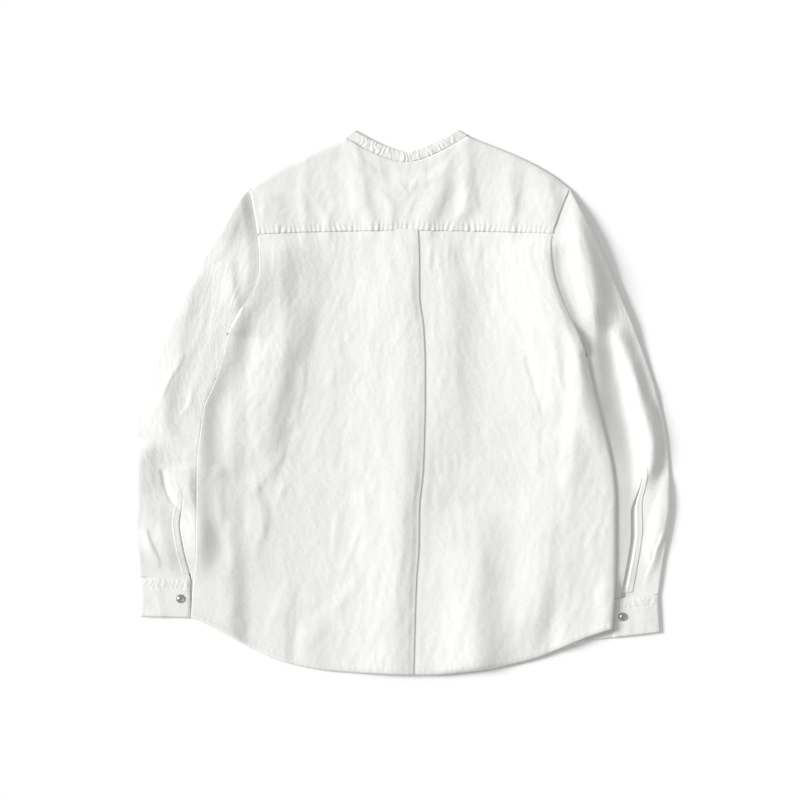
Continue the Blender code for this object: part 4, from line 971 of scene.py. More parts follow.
def collar_row(c, front, height, push=0.0):
    """A row of points over the band's width; height takes the fraction over it."""
    (sx, sy), (fx, fy) = collar_section(c, front)
    length = math.hypot(fx - sx, fy - sy)
    ox, oy = (fx - sx) / length, (fy - sy) / length
    t = np.linspace(0.0, 1.0, COLLAR_COLUMNS)
    x = lerp(sx + ox * COLLAR_GAP, fx, t) + math.copysign(push, c) * oy
    y = lerp(sy + oy * COLLAR_GAP, fy, t) + push * abs(ox)
    return grid(x, y, height(t))


def collar_ripple(c, t):
    """Height of the uneven puckers along the back of the band."""
    fade = float(smoothstep((COLLAR_BACK_END - abs(c)) / COLLAR_BACK_FADE))
    across = np.full(t.shape, c)
    count = c * COLLAR_PUCKERS / 2 + uneven(COLLAR_WANDER, across, t) + COLLAR_PUCKER_LEAN * t
    share = np.maximum(COLLAR_SHARE + uneven(COLLAR_SHARES, across, t), COLLAR_LEAST)
    wave = 0.5 + 0.5 * np.sin(count * math.tau)
    pucker = COLLAR_PUCKER_RISE * share * wave * (1.0 - COLLAR_PUCKER_LOSS * t)
    return fade * (pucker + COLLAR_CROWN * np.sin(math.pi * t))


def make_collar(thickness):
    lap = BAND_WIDTH / (NECK_RIGHT[0] - NECK_LEFT[0])
    low, high = LAYER / 2, LAYER / 2 + STEP + COLLAR_LOFT
    start, reach = COLLAR_FRONT_EASE

    def front_row(c, band_level):
        level = lerp(band_level, low, smoothstep((abs(c) - start) / reach))
        return collar_row(c, True, lambda t: level + 0.0 * t)

    def fold_row(c, turn):
        push = COLLAR_FOLD * math.sin(math.pi * turn)
        return collar_row(c, True, lambda t: lerp(low, high, turn) + 0.0 * t, push)

    front = np.linspace(-lap, COLLAR_FRONT_END, COLLAR_ROWS[0])
    turns = np.linspace(0.0, 1.0, COLLAR_ROWS[1])
    back = np.linspace(-COLLAR_FRONT_END, COLLAR_FRONT_END, COLLAR_ROWS[2])
    rows = [front_row(-c, OUTER_BAND_LEVEL) for c in front]
    rows += [fold_row(-1.0, turn) for turn in turns]
    rows += [collar_row(c, False, lambda t, c=c: high + collar_ripple(c, t)) for c in back]
    rows += [fold_row(1.0, turn) for turn in turns[::-1]]
    rows += [front_row(c, INNER_BAND_LEVEL) for c in front[::-1]]
    points = np.array(rows)
    steps = np.linalg.norm(np.diff(points[:, -1], axis=0), axis=-1)
    u = np.concatenate(((0.0,), np.cumsum(steps)))[:, None]
    v = np.linspace(0.0, COLLAR_HEIGHT, COLLAR_COLUMNS)[None, :]
    return linen_sheet("collar_band", points, grid(u, v), thickness)


# Sleeves

SLEEVE_DOWN = 2.3
SLEEVE_LENGTH = 560.0
SLEEVE_WIDTH = 150.0
SLEEVE_COLUMNS = (48, 7, 14, 6, 40)     # outer part, outer fold, underside, inner fold, inner part
SLEEVE_FOLD_INSET = 0.02    # share of the width that each folded edge takes
SLEEVE_TUCK = 2.5           # at the armhole the cloth goes this far under the body's edge
SLEEVE_TUCK_DROP = 0.6      # and this much down
SLEEVE_TUCK_END = 0.012     # over this share of the length
SLEEVE_UNDER_BODY = 4.0     # how far under the body's edge the sleeve starts to rise
SLEEVE_SEAM_START = 0.25    # share of the underarm's ease above which the armhole seam counts
SLEEVE_SEAM_EASE = 18.0     # width over which the sleeve rises from that seam
SLEEVE_AIR_AT_CUFF = 1.1    # loft at the cuff
SLIT_PRESSED = 0.18         # share of the loft left beside the slit
SLIT_PRESSED_WIDTH = 0.22   # as a fraction across the sleeve
SLIT_OPEN_SHARE = 0.45      # the cloth closes the slit to this share of its full opening
SLEEVE_LEAST = 0.2          # least loft
SLEEVE_SHARE_EASE = 50.0    # over this height the sleeve leaves the body's form below the seam
# How a sleeve's upper layer lies: its loft, the reach of its rolled outer fold, the share of
# the loft at that fold, which comes to the full loft over the ease, how far beside the body's
# edge the sleeve starts to rise and over which width, its ridges and the seed of its crumple
Form = namedtuple("Form", "air roll low ease start rise ridges seed")
FORMS = {-1: Form(2.8, 4.5, 1.7, 100.0, -4.0, 6.0, LEFT_SLEEVE_RIDGES, 311),
         1: Form(5.0, 3.5, 0.25, 50.0, 20.0, 46.0, RIGHT_SLEEVE_RIDGES, 411)}


def sleeve_outline(sleeve, v, w):
    """X and Y at fraction v down the sleeve and w across it from the outer folded edge."""
    edge = SIDE_EDGES[sleeve.side]
    shoulder, underarm = sleeve.outer[0], sleeve.inner[0]
    armhole_x = edge_x(edge, lerp(shoulder[1], underarm[1], w))
    bow = armhole_x - lerp(shoulder[0], underarm[0], w)
    bow = bow * np.maximum(1.0 - v / BOW_END, 0.0) ** (1.0 + BOW_POWER * w)
    outer, inner = along(sleeve.outer, v), along(sleeve.inner, v)
    x, y = lerp(outer[0], inner[0], w) + bow, lerp(outer[1], inner[1], w)
    outside = (x - edge_x(edge, y)) * sleeve.side
    clear = SLEEVE_OUT * v - SLEEVE_OUT_END * np.maximum(underarm[1] - y, 0.0)
    x = x + sleeve.side * np.maximum(clear - outside, 0.0)
    return x, y


def slit_place(sleeve, v):
    return through(*zip(*sleeve.slit), v)


def sleeve_width(sleeve, v):
    outer, inner = along(sleeve.outer, v), along(sleeve.inner, v)
    return np.hypot(outer[0] - inner[0], outer[1] - inner[1])


def sleeve_surface(sleeve, v, w):
    """Points of the middle of the upper layer of a sleeve."""
    x, y = sleeve_outline(sleeve, v, w)
    form, underarm_y = FORMS[sleeve.side], sleeve.inner[0][1]
    outside = (x - edge_x(SIDE_EDGES[sleeve.side], y)) * sleeve.side
    seam = smoothstep((y - underarm_y) / UNDERARM_EASE - SLEEVE_SEAM_START)
    start = lerp(form.start, -SLEEVE_UNDER_BODY, seam)
    opening = smoothstep((outside - start) / form.rise)
    outer = along(sleeve.outer, v)
    from_fold = np.hypot(x - outer[0], y - outer[1])
    fold_side = rolled(from_fold, form.roll)
    at_cuff = smoothstep((1.0 - v) / ARMHOLE_END)
    low = lerp(SLEEVE_PRESSED, LAYER / 2 + STEP + AIR, seam * fold_side)
    air = form.air * lerp(form.low, 1.0, smoothstep(from_fold / form.ease))
    air = air * lerp(1.0, smoothstep(outside / SLEEVE_SEAM_EASE), seam)
    small = crumple(w * SLEEVE_WIDTH, v * SLEEVE_LENGTH, form.seed)
    shape = lerp(SLEEVE_AIR_AT_CUFF, air + relief(form.ridges, x, y) + small, at_cuff)
    at_slit = (smoothstep((v - sleeve.slit_start) / SLIT_SPREAD)
               * falloff(np.abs(w - slit_place(sleeve, v)) / SLIT_PRESSED_WIDTH))
    shape = shape * lerp(1.0, SLIT_PRESSED, at_slit)
    shared = smoothstep((y - underarm_y) / SLEEVE_SHARE_EASE + 0.5)
    z = low + (np.maximum(shape, SLEEVE_LEAST) * opening + body_relief(x, y) * shared) * fold_side
    z = z + relief(SWELL, x, y) * fold_side * at_cuff
    tuck = falloff(v / SLEEVE_TUCK_END) * seam
    return x - sleeve.side * SLEEVE_TUCK * tuck, y, z - SLEEVE_TUCK_DROP * tuck


def make_sleeve(name, sleeve, thickness):
    v = np.linspace(0.0, 1.0, int(SLEEVE_LENGTH / SLEEVE_DOWN))[:, None]
    slit = slit_place(sleeve, v)
    opening = smoothstep((v - sleeve.slit_start) / SLIT_SPREAD)
    opened = slit + SLIT_OPEN_SHARE * sleeve.gap * opening
    under_side = LAYER / 2 + ARMHOLE_LIFT * falloff(v / ARMHOLE_END)
    near, far = SLEEVE_FOLD_INSET, 1.0 - SLEEVE_FOLD_INSET
    outer_part, outer_fold, underside, inner_fold, inner_part = SLEEVE_COLUMNS

    def turned(w_edge, w_start, angle):
        """A point of a folded edge, from the upper layer at 0 to the underside at pi."""
        x, y, z = sleeve_surface(sleeve, v, w_start + 0.0 * v)
        fold_x, fold_y = sleeve_outline(sleeve, v, w_edge + 0.0 * v)
        out = math.sin(angle)
        height = lerp(z, under_side, (1.0 - math.cos(angle)) / 2)
        return lerp(x, fold_x, out), lerp(y, fold_y, out), height

    columns = [sleeve_surface(sleeve, v, near + (slit - near) * w)
               for w in np.linspace(1.0, 0.0, outer_part)[:-1]]
    columns += [turned(0.0, near, angle) for angle in np.linspace(0.0, math.pi, outer_fold)]
    columns += [(*sleeve_outline(sleeve, v, w + 0.0 * v), under_side)
                for w in np.linspace(near, far, underside)[1:-1]]
    columns += [turned(1.0, far, angle) for angle in np.linspace(math.pi, 0.0, inner_fold)]
    columns += [sleeve_surface(sleeve, v, lerp(far, opened, w))
                for w in np.linspace(0.0, 1.0, inner_part)[1:]]
    x, y, z = (np.concatenate([column[k] for column in columns], axis=1) for k in range(3))
    points = grid(x, y, z)
    steps = np.linalg.norm(np.diff(points, axis=1), axis=-1)
    u = np.concatenate((0.0 * v, np.cumsum(steps, axis=1)), axis=1)
    u = u - u[:, outer_part:outer_part + 1]
    points, weave = facing_up(sleeve, points, grid(u, -SLEEVE_LENGTH * v))
    return linen_sheet(name, points, weave, thickness, joined=v[:, 0] <= sleeve.slit_start)


BINDING_ROWS = 110
BINDING_COLUMNS = 17
BINDING_UNDER = 8.0         # width of the part that passes under the slit's other edge
BINDING_DROP = 1.5          # and how far below it that lies
BINDING_TOP = 0.3           # how far the binding's middle lies above the sleeve's
BINDING_TURN = 1.2          # width over which it turns round the slit's edge
BINDING_FADE = 0.03


def make_slit_binding(name, sleeve, thickness):
    v = np.linspace(sleeve.slit_start - BINDING_ABOVE, SLIT_END, BINDING_ROWS)[:, None]
    across = np.linspace(-BINDING_UNDER, LAYER / 2 + BINDING_WIDTH, BINDING_COLUMNS)[None, :]
    w = slit_place(sleeve, v) - across / sleeve_width(sleeve, v)
    x, y, z = sleeve_surface(sleeve, v, w)
    fade = smoothstep((v - sleeve.slit_start + BINDING_ABOVE) / BINDING_FADE)
    on_top = smoothstep((across + BINDING_TURN) / BINDING_TURN)
    points = grid(x, y, z + lerp(-BINDING_DROP, BINDING_TOP * fade, on_top))
    points, weave = facing_up(sleeve, points, grid(across, -SLEEVE_LENGTH * v))
    return linen_sheet(name, points, weave, thickness)


# Cuffs

CUFF_GRID = 1.7
CUFF_ROWS = 34
CUFF_STRIP = 13.0           # puckered strip between the two seams at the cuff's upper edge
CUFF_PUCKER = 6.5           # distance from one pucker to the next
CUFF_PUCKER_RISE = 0.3
CUFF_PUCKER_START = 3.0     # the puckers start over this height and fade over the next
CUFF_PUCKER_FADE = 6.0
CUFF_WANDER = Uneven(0.7, 11.0, 9.0, 0)
CUFF_GROOVE = 0.3           # depth and width of the groove along the strip's lower seam
CUFF_GROOVE_WIDTH = 1.2
CUFF_SMALL = Uneven(0.35, 13.0, 17.0, 1)
CUFF_SMALL_EASE = 8.0
CUFF_PILLOW = 0.35          # how much the cloth swells between its stitched edges
CUFF_EDGE = 5.0
CUFF_OVER_SLEEVE = 1.2      # the cuff's upper edge covers the sleeve's end by this much
CUFF_SEAM_DROP = 0.5        # and is pressed down onto it
CUFF_END_DROP = 0.7         # the lapped end is pressed down onto the under end
CUFF_OUTER_FOLD = (0.5, 1.1, 0.4)       # how far its points lie below the top and the middle
CUFF_OUTER_IN = 0.8         # from each fold to the points beside it
CUFF_INNER_IN = 1.0
CUFF_TOP_BELOW = 1.0        # the upper layer's relief starts this far below its top
CUFF_TOP_EASE = 0.6


def cuff_width(cuff):
    (outer_x, outer_y), (inner_x, inner_y) = cuff.sleeve.outer[-1], cuff.sleeve.inner[-1]
    return math.hypot(inner_x - outer_x, inner_y - outer_y)


def cuff_place(cuff, across, down):
    (outer_x, outer_y), (inner_x, inner_y) = cuff.sleeve.outer[-1], cuff.sleeve.inner[-1]
    share = across / cuff_width(cuff)
    x = lerp(outer_x, inner_x, share) + cuff.sleeve.side * cuff.lean * down
    return x, lerp(outer_y, inner_y, share) - down


def cuff_path(cuff):
    """Across and height of the cuff's section, from its lapped end round to its under end."""
    turn_drop, side_drop, edge_drop = CUFF_OUTER_FOLD
    low = CUFF_WALL / 2
    under = low + CUFF_WALL + CUFF_CLEAR
    top = under + CUFF_WALL + GAP
    inner_end = cuff.lap_end - CUFF_OVERLAP
    settle, crown = CUFF_LAP_SETTLE
    width = cuff_width(cuff)
    return np.array([
        (cuff.lap_end, top), (cuff.lap_end - CUFF_OVERLAP / 2, top), (inner_end - settle, top),
        (inner_end - crown, top + CUFF_CROWN), (inner_end / 2, top + CUFF_CROWN / 2),
        (CUFF_TURN, top - turn_drop), (CUFF_OUTER_IN, top - side_drop),
        (0.0, (low + top) / 2 - edge_drop), (CUFF_OUTER_IN, low), (width / 2, low),
        (width - CUFF_INNER_IN, low), (width, (low + under) / 2), (width - CUFF_INNER_IN, under),
        (cuff.lap_end + CUFF_TURN, under), (inner_end, under),
    ])


def cuff_relief(cuff, across, down):
    """Puckers of the stitched strip and the swell of the cloth inside the stitching."""
    edge = np.minimum(np.minimum(down, cuff.height - down), np.abs(cuff.lap_end - across))
    edge = np.maximum(edge, 0.0)
    pillow = CUFF_PILLOW * smoothstep(edge / CUFF_EDGE)
    count = across / CUFF_PUCKER + uneven(CUFF_WANDER, across, down, cuff.seed)
    strip = (smoothstep(down / CUFF_PUCKER_START)
             * falloff((down - CUFF_STRIP) / CUFF_PUCKER_FADE))
    pucker = CUFF_PUCKER_RISE * strip * np.sin(count * math.tau)
    seam = -CUFF_GROOVE * np.exp(-((down - CUFF_STRIP) / CUFF_GROOVE_WIDTH) ** 2)
    small = uneven(CUFF_SMALL, across, down, cuff.seed)
    pressed = CUFF_SEAM_DROP * (smoothstep((down + CUFF_OVER_SLEEVE) / CUFF_EDGE) - 1.0)
    pressed = pressed - CUFF_END_DROP * falloff((cuff.lap_end - across) / CUFF_EDGE)
    below_strip = smoothstep((down - CUFF_STRIP) / CUFF_SMALL_EASE)
    return pressed + pillow + pucker + seam + small * below_strip


def make_cuff(name, cuff, thickness):
    path = cuff_path(cuff)
    lengths = lengths_to(path)
    u = np.linspace(0.0, lengths[-1], int(lengths[-1] / CUFF_GRID))[None, :]
    across = np.interp(u, lengths, path[:, 0])
    height = np.interp(u, lengths, path[:, 1])
    down = np.linspace(-CUFF_OVER_SLEEVE, cuff.height, CUFF_ROWS)[:, None]
    x, y = cuff_place(cuff, across, down)
    on_top = smoothstep((height - path[0][1] + CUFF_TOP_BELOW) / CUFF_TOP_EASE)
    z = height + on_top * cuff_relief(cuff, across, down)
    points, weave = facing_up(cuff.sleeve, grid(x, y, z), grid(u, -down))
    return linen_sheet(name, points, weave, thickness)


# Stitches

Row = namedtuple("Row", "points below")     # X, Y places of a row; below: on the underside
RAY_HEIGHT = 60.0           # stitches are dropped onto the cloth from this height
STITCH_SIDES = 4
STITCH_RINGS = ((-0.3, 0.85), (0.0, 1.0), (0.3, 0.85))      # place along the stitch, fullness
ROW_STEP = 4.0              # distance from one point of a row to the next
EDGE_ROWS = (-2.0, -7.0)    # X of the rows beside a side edge
YOKE_ROWS = (-196.0, 205.0)             # X where the rows at the yoke seam start and end
YOKE_ROWS_ABOVE = (1.6, 9.0)
HEM_ROW_ABOVE = 6.5
FRONT_HEM_ROW_ABOVE = 8.0
CUFF_ROW_IN = 1.8           # from the cuff's edges and from its strip's lower seam
CUFF_ROW_TOP = 0.9
CUFF_ROW_START = 3.0
CUFF_END_ROW_TOP = 1.0
CUFF_ROW_POINTS = 40
DOWN_ROW_POINTS = 30
BINDING_ROWS_AT = (2.0, BINDING_WIDTH - 1.0)    # from the slit's edge
BINDING_BARS = (1, 3)       # points of those rows that the bars at the slit's end join
COLLAR_ROW_END = 0.94
COLLAR_ROW_POINTS = 90
COLLAR_ROWS_AT = (0.12, 0.88)           # shares of the band's width
BAND_ROW_IN = 2.0


def row_places(points, pitch):
    """Places just before and just after the middle of each stitch of an even row."""
    points = np.asarray(points, float)
    lengths = lengths_to(points)
    at = np.arange(pitch / 2, lengths[-1], pitch)
    return [np.stack([np.interp(at + step, lengths, points[:, k]) for k in (0, 1)], axis=-1)
            for step in (-pitch / 3, pitch / 3)]


def stitch_mesh(name, centres, runs, ups, length, radius):
    """Small threads lying along the runs, as one mesh."""
    sides = np.cross(ups, runs)
    verts = []
    for place, fullness in STITCH_RINGS:
        for k in range(STITCH_SIDES):
            angle = math.tau * (k + 0.5) / STITCH_SIDES
            around = sides * math.cos(angle) + ups * math.sin(angle)
            verts.append(centres + runs * length * place + around * radius * fullness)
    for place in (-0.5, 0.5):
        verts.append(centres + runs * length * place - ups * radius)
    verts = np.stack(verts, axis=1)
    rings, start, end = len(STITCH_RINGS), verts.shape[1] - 2, verts.shape[1] - 1
    faces = []
    for k in range(STITCH_SIDES):
        after = (k + 1) % STITCH_SIDES
        for ring in range(rings - 1):
            low, high = ring * STITCH_SIDES, (ring + 1) * STITCH_SIDES
            faces += [(low + k, high + k, high + after), (low + k, high + after, low + after)]
        faces.append((start, k, after))
        last = (rings - 1) * STITCH_SIDES
        faces.append((end, last + after, last + k))
    every = np.arange(len(centres))[:, None, None] * verts.shape[1] + np.array(faces)[None]
    return new_mesh(name, verts.reshape(-1, 3), every.reshape(-1, 3))


def make_stitches(name, piece, rows, settings):
    """Rows of stitches laid on the surface of a piece."""
    depsgraph = bpy.context.evaluated_depsgraph_get()
    tree = BVHTree.FromObject(piece, depsgraph)
    ends, ups = [], []
    for row in rows:
        down = Vector((0.0, 0.0, 1.0 if row.below else -1.0))
        for start, end in zip(*row_places(row.points, settings.pitch / MM)):
            hits = [tree.ray_cast(Vector(((x - MIDDLE[0]) * MM, (y - MIDDLE[1]) * MM,
                                          -down.z * RAY_HEIGHT * MM)), down)
                    for x, y in (start, end)]
            if all(hit[0] is not None for hit in hits):
                ends.append([hit[0][:] for hit in hits])
                ups.append(hits[0][1][:])
    ends, ups = np.array(ends), np.array(ups)
    runs = ends[:, 1] - ends[:, 0]
    flat = np.linalg.norm(runs, axis=-1)
    kept = (flat < settings.pitch) & (flat > settings.pitch / 2)
    runs, ups, centres = runs[kept] / flat[kept, None], ups[kept], ends[kept].mean(axis=1)
    ups = ups - runs * (ups * runs).sum(axis=-1, keepdims=True)
    ups = ups / np.linalg.norm(ups, axis=-1, keepdims=True)
    mesh = stitch_mesh(name, centres, runs, ups, settings.length, settings.radius)
    return add_piece(name, mesh)


def edge_rows(edge, top, bottom):
    """Two rows beside a side edge, between two heights."""
    y = np.arange(top, bottom, -ROW_STEP)
    return [Row(np.stack((edge_x(edge, y) + aside, y), axis=-1), False) for aside in EDGE_ROWS]


def hem_row(start, end, above, below=False):
    x = np.arange(start, end, ROW_STEP)
    return Row(np.stack((x, edge_y(HEM, x) + above), axis=-1), below)


def seam_rows():
    x = np.arange(*YOKE_ROWS, ROW_STEP)
    return [Row(np.stack((x, yoke_seam_y(x) + above), axis=-1), False)
            for above in YOKE_ROWS_ABOVE]


# Two short rows hold the pleat below the yoke, and one crosses it at the seam
PLEAT_STITCHES = [Row(ends, False) for ends in (
    ((7.0, 236.0), (7.0, 208.0)), ((21.0, 236.0), (21.0, 208.0)), ((-17.0, 236.6), (21.0, 236.6)))]


def cuff_rows(cuff):
    """Stitching round the upper side of a cuff: its seams, its edges and its lapped end."""
    end, low = cuff.lap_end - CUFF_ROW_IN, cuff.height - CUFF_ROW_IN
    places = [(np.linspace(CUFF_ROW_START, end, CUFF_ROW_POINTS), down + np.zeros(CUFF_ROW_POINTS))
              for down in (CUFF_ROW_TOP, CUFF_STRIP - CUFF_ROW_IN, low)]
    places.append((end, np.linspace(CUFF_END_ROW_TOP, low, DOWN_ROW_POINTS)))
    return [Row(np.stack(cuff_place(cuff, across, down), axis=-1), False)
            for across, down in places]


def slit_rows(sleeve):
    """Stitching down both sides of a slit's binding, with two bars at its upper end."""
    v = np.linspace(sleeve.slit_start - BINDING_ABOVE, SLIT_END, DOWN_ROW_POINTS)
    rows = []
    for across in BINDING_ROWS_AT:
        place = slit_place(sleeve, v) - across / sleeve_width(sleeve, v)
        rows.append(Row(np.stack(sleeve_outline(sleeve, v, place), axis=-1), False))
    return rows + [Row(np.array([row.points[k] for row in rows]), False) for k in BINDING_BARS]


def collar_rows():
    """Stitching along both edges of the collar, at the back."""
    sections = [collar_section(c, False)
                for c in np.linspace(-COLLAR_ROW_END, COLLAR_ROW_END, COLLAR_ROW_POINTS)]
    return [Row(np.array([[lerp(seam[k], free[k], share) for k in (0, 1)]
                          for seam, free in sections]), False) for share in COLLAR_ROWS_AT]


def band_rows():
    """Stitching down both edges of the outer front band, on its underside."""
    rows = []
    for side in (-1, 1):
        x = CENTRE + side * (BAND_WIDTH / 2 - BAND_ROW_IN)
        top = float(front_neck_y(x)) - 4 * FRONT_INSET
        rows.append(Row(((x, top), (x, float(edge_y(HEM, x)) + 4 * FRONT_INSET)), True))
    return rows


# Materials

def add_node(tree, kind, inputs=(), **settings):
    """A node with its settings, and each input linked from a socket or set to a value."""
    node = tree.nodes.new("ShaderNode" + kind)
    for name, value in settings.items():
        setattr(node, name, value)
    for key, value in dict(inputs).items():
        if isinstance(value, bpy.types.NodeSocket):
            tree.links.new(value, node.inputs[key])
        else:
            node.inputs[key].default_value = value
    return node


def new_material(name):
    material = bpy.data.materials.new(name)
    material.use_nodes = True
    return material, material.node_tree, material.node_tree.nodes["Principled BSDF"]


def maths(tree, operation, first, second=0.0, third=0.0):
    return add_node(tree, "Math", {0: first, 1: second, 2: third}, operation=operation).outputs[0]


def noise(tree, vector, scale, detail=2.0, roughness=0.5):
    inputs = {"Vector": vector, "Scale": scale, "Detail": detail, "Roughness": roughness}
    return add_node(tree, "TexNoise", inputs).outputs["Fac"]


def ranged(tree, value, low, high, start=0.0, end=1.0):
    """A value from the range low to high, mapped to start to end."""
    return add_node(tree, "MapRange", {0: value, 1: low, 2: high, 3: start, 4: end}).outputs[0]


def colour_by(tree, shader, factor, low, high, start=0.0, end=1.0):
    """Colours the surface from low to high where the factor goes from start to end."""
    ramp = add_node(tree, "ValToRGB", {"Fac": factor})
    for element, place, colour in zip(ramp.color_ramp.elements, (start, end), (low, high)):
        element.position, element.color = place, (*colour, 1.0)
    tree.links.new(ramp.outputs["Color"], shader.inputs["Base Color"])


def add_bump(tree, shader, height, distance, strength=1.0):
    bump = add_node(tree, "Bump", {"Strength": strength, "Distance": distance, "Height": height})
    tree.links.new(bump.outputs["Normal"], shader.inputs["Normal"])


def tinted(colour, *shares):
    """A colour times a share of each channel, or times one share of them all."""
    shares = shares if len(shares) == 3 else 3 * shares
    return [min(channel * share, 1.0) for channel, share in zip(colour, shares)]


def linen_material(name, colour, thread):
    """Plain-weave linen: crossing threads with slubs, mottled colour and fine crumple."""
    material, tree, shader = new_material(name)
    weave = add_node(tree, "UVMap", uv_map="weave").outputs["UV"]
    wobble = add_node(tree, "TexNoise", {"Vector": weave, "Scale": 160.0, "Detail": 1.0})
    shift = add_node(tree, "VectorMath", {0: wobble.outputs["Color"], 3: 2.2 * thread},
                     operation="SCALE").outputs[0]
    threads = add_node(tree, "VectorMath", {0: weave, 1: shift}, operation="ADD").outputs[0]
    split = add_node(tree, "SeparateXYZ", {0: threads})
    warp, weft = (maths(tree, "SINE", maths(tree, "MULTIPLY", split.outputs[k], math.pi / thread))
                  for k in ("X", "Y"))
    over = maths(tree, "MULTIPLY", warp, weft)
    slubs = []
    for stretch in ((900.0, 55.0, 1.0), (55.0, 900.0, 1.0)):
        stretched = add_node(tree, "Mapping", {"Vector": weave, "Scale": stretch}).outputs[0]
        slubs.append(ranged(tree, noise(tree, stretched, 1.0, 2.0), 0.38, 0.72))
    slub = maths(tree, "MAXIMUM", *slubs)
    mottle = noise(tree, weave, 24.0, 4.0, 0.6)
    grain = noise(tree, weave, 420.0, 3.0, 0.65)
    fine = noise(tree, weave, 150.0, 3.0, 0.6)

    # Colour: paler slubs, painted shade in the weave's dips, a faint drift over the cloth
    tone = maths(tree, "MULTIPLY_ADD", slub, 0.30, maths(tree, "MULTIPLY", over, 0.12))
    tone = maths(tree, "ADD", tone, ranged(tree, mottle, 0.25, 0.75, 0.0, 0.45))
    tone = maths(tree, "ADD", tone, ranged(tree, grain, 0.25, 0.75, 0.0, 0.35))
    colour_by(tree, shader, tone, tinted(colour, 0.93, 0.925, 0.915), tinted(colour, 1.035),
              start=0.05)
    rough = ranged(tree, maths(tree, "ADD", slub, grain), 0.3, 1.5, 0.93, 0.80)
    tree.links.new(rough, shader.inputs["Roughness"])

    # Bump: crumple of a few millimetres, slubs and threads
    height = 0.0
    for part, rise in ((fine, 0.0004), (grain, 0.0001), (slub, 0.00006), (over, 0.00004)):
        height = maths(tree, "MULTIPLY_ADD", part, rise, height)
    add_bump(tree, shader, height, 1.0)
    shader.inputs["Sheen Weight"].default_value = 0.10
    shader.inputs["Sheen Roughness"].default_value = 0.5
    shader.inputs["Specular IOR Level"].default_value = 0.22
    return material


def thread_material(name, colour):
    """Sewing thread: two plies twisted together, slightly glossy."""
    material, tree, shader = new_material(name)
    place = add_node(tree, "TexCoord").outputs["Object"]
    ply = add_node(tree, "TexWave", {"Vector": place, "Scale": 900.0, "Distortion": 1.5},
                   bands_direction="DIAGONAL").outputs["Fac"]
    tint = noise(tree, place, 300.0)
    colour_by(tree, shader, maths(tree, "MULTIPLY", ply, tint), tinted(colour, 0.9), colour)
    tree.links.new(ranged(tree, tint, 0.3, 0.7, 0.5, 0.65), shader.inputs["Roughness"])
    add_bump(tree, shader, ply, 0.00004)
    return material


def metal_material(name, colour, roughness):
    """Pressed metal caps: fine brushing, handling marks and slightly worn high spots."""
    material, tree, shader = new_material(name)
    place = add_node(tree, "TexCoord").outputs["Object"]
    brushed = add_node(tree, "Mapping", {"Vector": place, "Scale": (9000.0, 700.0, 900.0)})
    lines = noise(tree, brushed.outputs[0], 1.0, 3.0, 0.6)
    marks = noise(tree, place, 600.0, 4.0, 0.65)
    worn = maths(tree, "MULTIPLY_ADD", lines, 0.5, maths(tree, "MULTIPLY", marks, 0.5))
    colour_by(tree, shader, worn, tinted(colour, 0.62), tinted(colour, 1.15), 0.3, 0.7)
    rough = ranged(tree, marks, 0.3, 0.7, roughness - 0.06, roughness + 0.14)
    tree.links.new(rough, shader.inputs["Roughness"])
    add_bump(tree, shader, lines, 0.00003, 0.4)
    shader.inputs["Metallic"].default_value = 1.0
    return material


def floor_material(colour):
    """Smooth pale board with a faint tooth."""
    material, tree, shader = new_material("pale_floor")
    place = add_node(tree, "TexCoord").outputs["Object"]
    tooth = noise(tree, place, 350.0, 3.0)
    shader.inputs["Base Color"].default_value = (*colour, 1.0)
    tree.links.new(ranged(tree, tooth, 0.3, 0.7, 0.76, 0.86), shader.inputs["Roughness"])
    add_bump(tree, shader, tooth, 0.00005, 0.2)
    shader.inputs["Specular IOR Level"].default_value = 0.1
    return material


def only_once(name, make, *settings):
    """The material of this name, made when it is first asked for."""
    return bpy.data.materials.get(name) or make(name, *settings)


def outer_linen():
    settings = bpy.context.scene.shirt_linen
    return only_once("woven_linen", linen_material, settings.colour, settings.thread)


def inner_linen():
    settings = bpy.context.scene.shirt_linen
    return only_once("woven_linen_inside", linen_material, settings.inside_colour,
                     settings.thread)


def sewing_thread():
    return only_once("sewing_thread", thread_material, bpy.context.scene.shirt_stitches.colour)


# Settings and tools

CAMERA_OVER = (-0.00254, 0.0030)        # X and Y of the camera over the shirt, in metres
SENSOR_WIDTH = 36.0
Float, Colour = bpy.props.FloatProperty, bpy.props.FloatVectorProperty


def length(name, description, default):
    return Float(name=name, description=description, default=default, min=0.0, precision=5,
                 subtype="DISTANCE", unit="LENGTH")


def colour(name, description, default):
    return Colour(name=name, description=description, default=default, min=0.0, max=1.0,
                  subtype="COLOR")


class ShirtLinen(bpy.types.PropertyGroup):
    """Sizes and colours of the cloth"""
    thickness: length("Cloth", "Thickness of the linen", 0.0006)
    cuff_thickness: length("Cuffs", "Thickness of the interlined cuffs", 0.0011)
    thread: length("Thread", "Distance from one thread of the weave to the next", 0.00055)
    colour: colour("Outer side", "Colour of the linen's outer side", (0.838, 0.837, 0.821))
    inside_colour: colour("Inner side", "Colour of the hidden panels", (0.828, 0.826, 0.810))


class ShirtStitches(bpy.types.PropertyGroup):
    """Sizes and colour of the sewing"""
    pitch: length("Pitch", "Distance from one stitch to the next", 0.0030)
    length: length("Length", "Length of the thread that shows in a stitch", 0.0025)
    radius: length("Radius", "Radius of the thread", 0.00024)
    colour: colour("Thread", "Colour of the sewing thread", (0.83, 0.82, 0.79))


class ShirtStuds(bpy.types.PropertyGroup):
    """Finish of the press studs"""
    colour: colour("Metal", "Colour of the studs' metal", (0.55, 0.54, 0.51))
    roughness: Float(name="Roughness", description="Roughness of the studs' metal", default=0.3,
                     min=0.1, max=0.8, subtype="FACTOR")


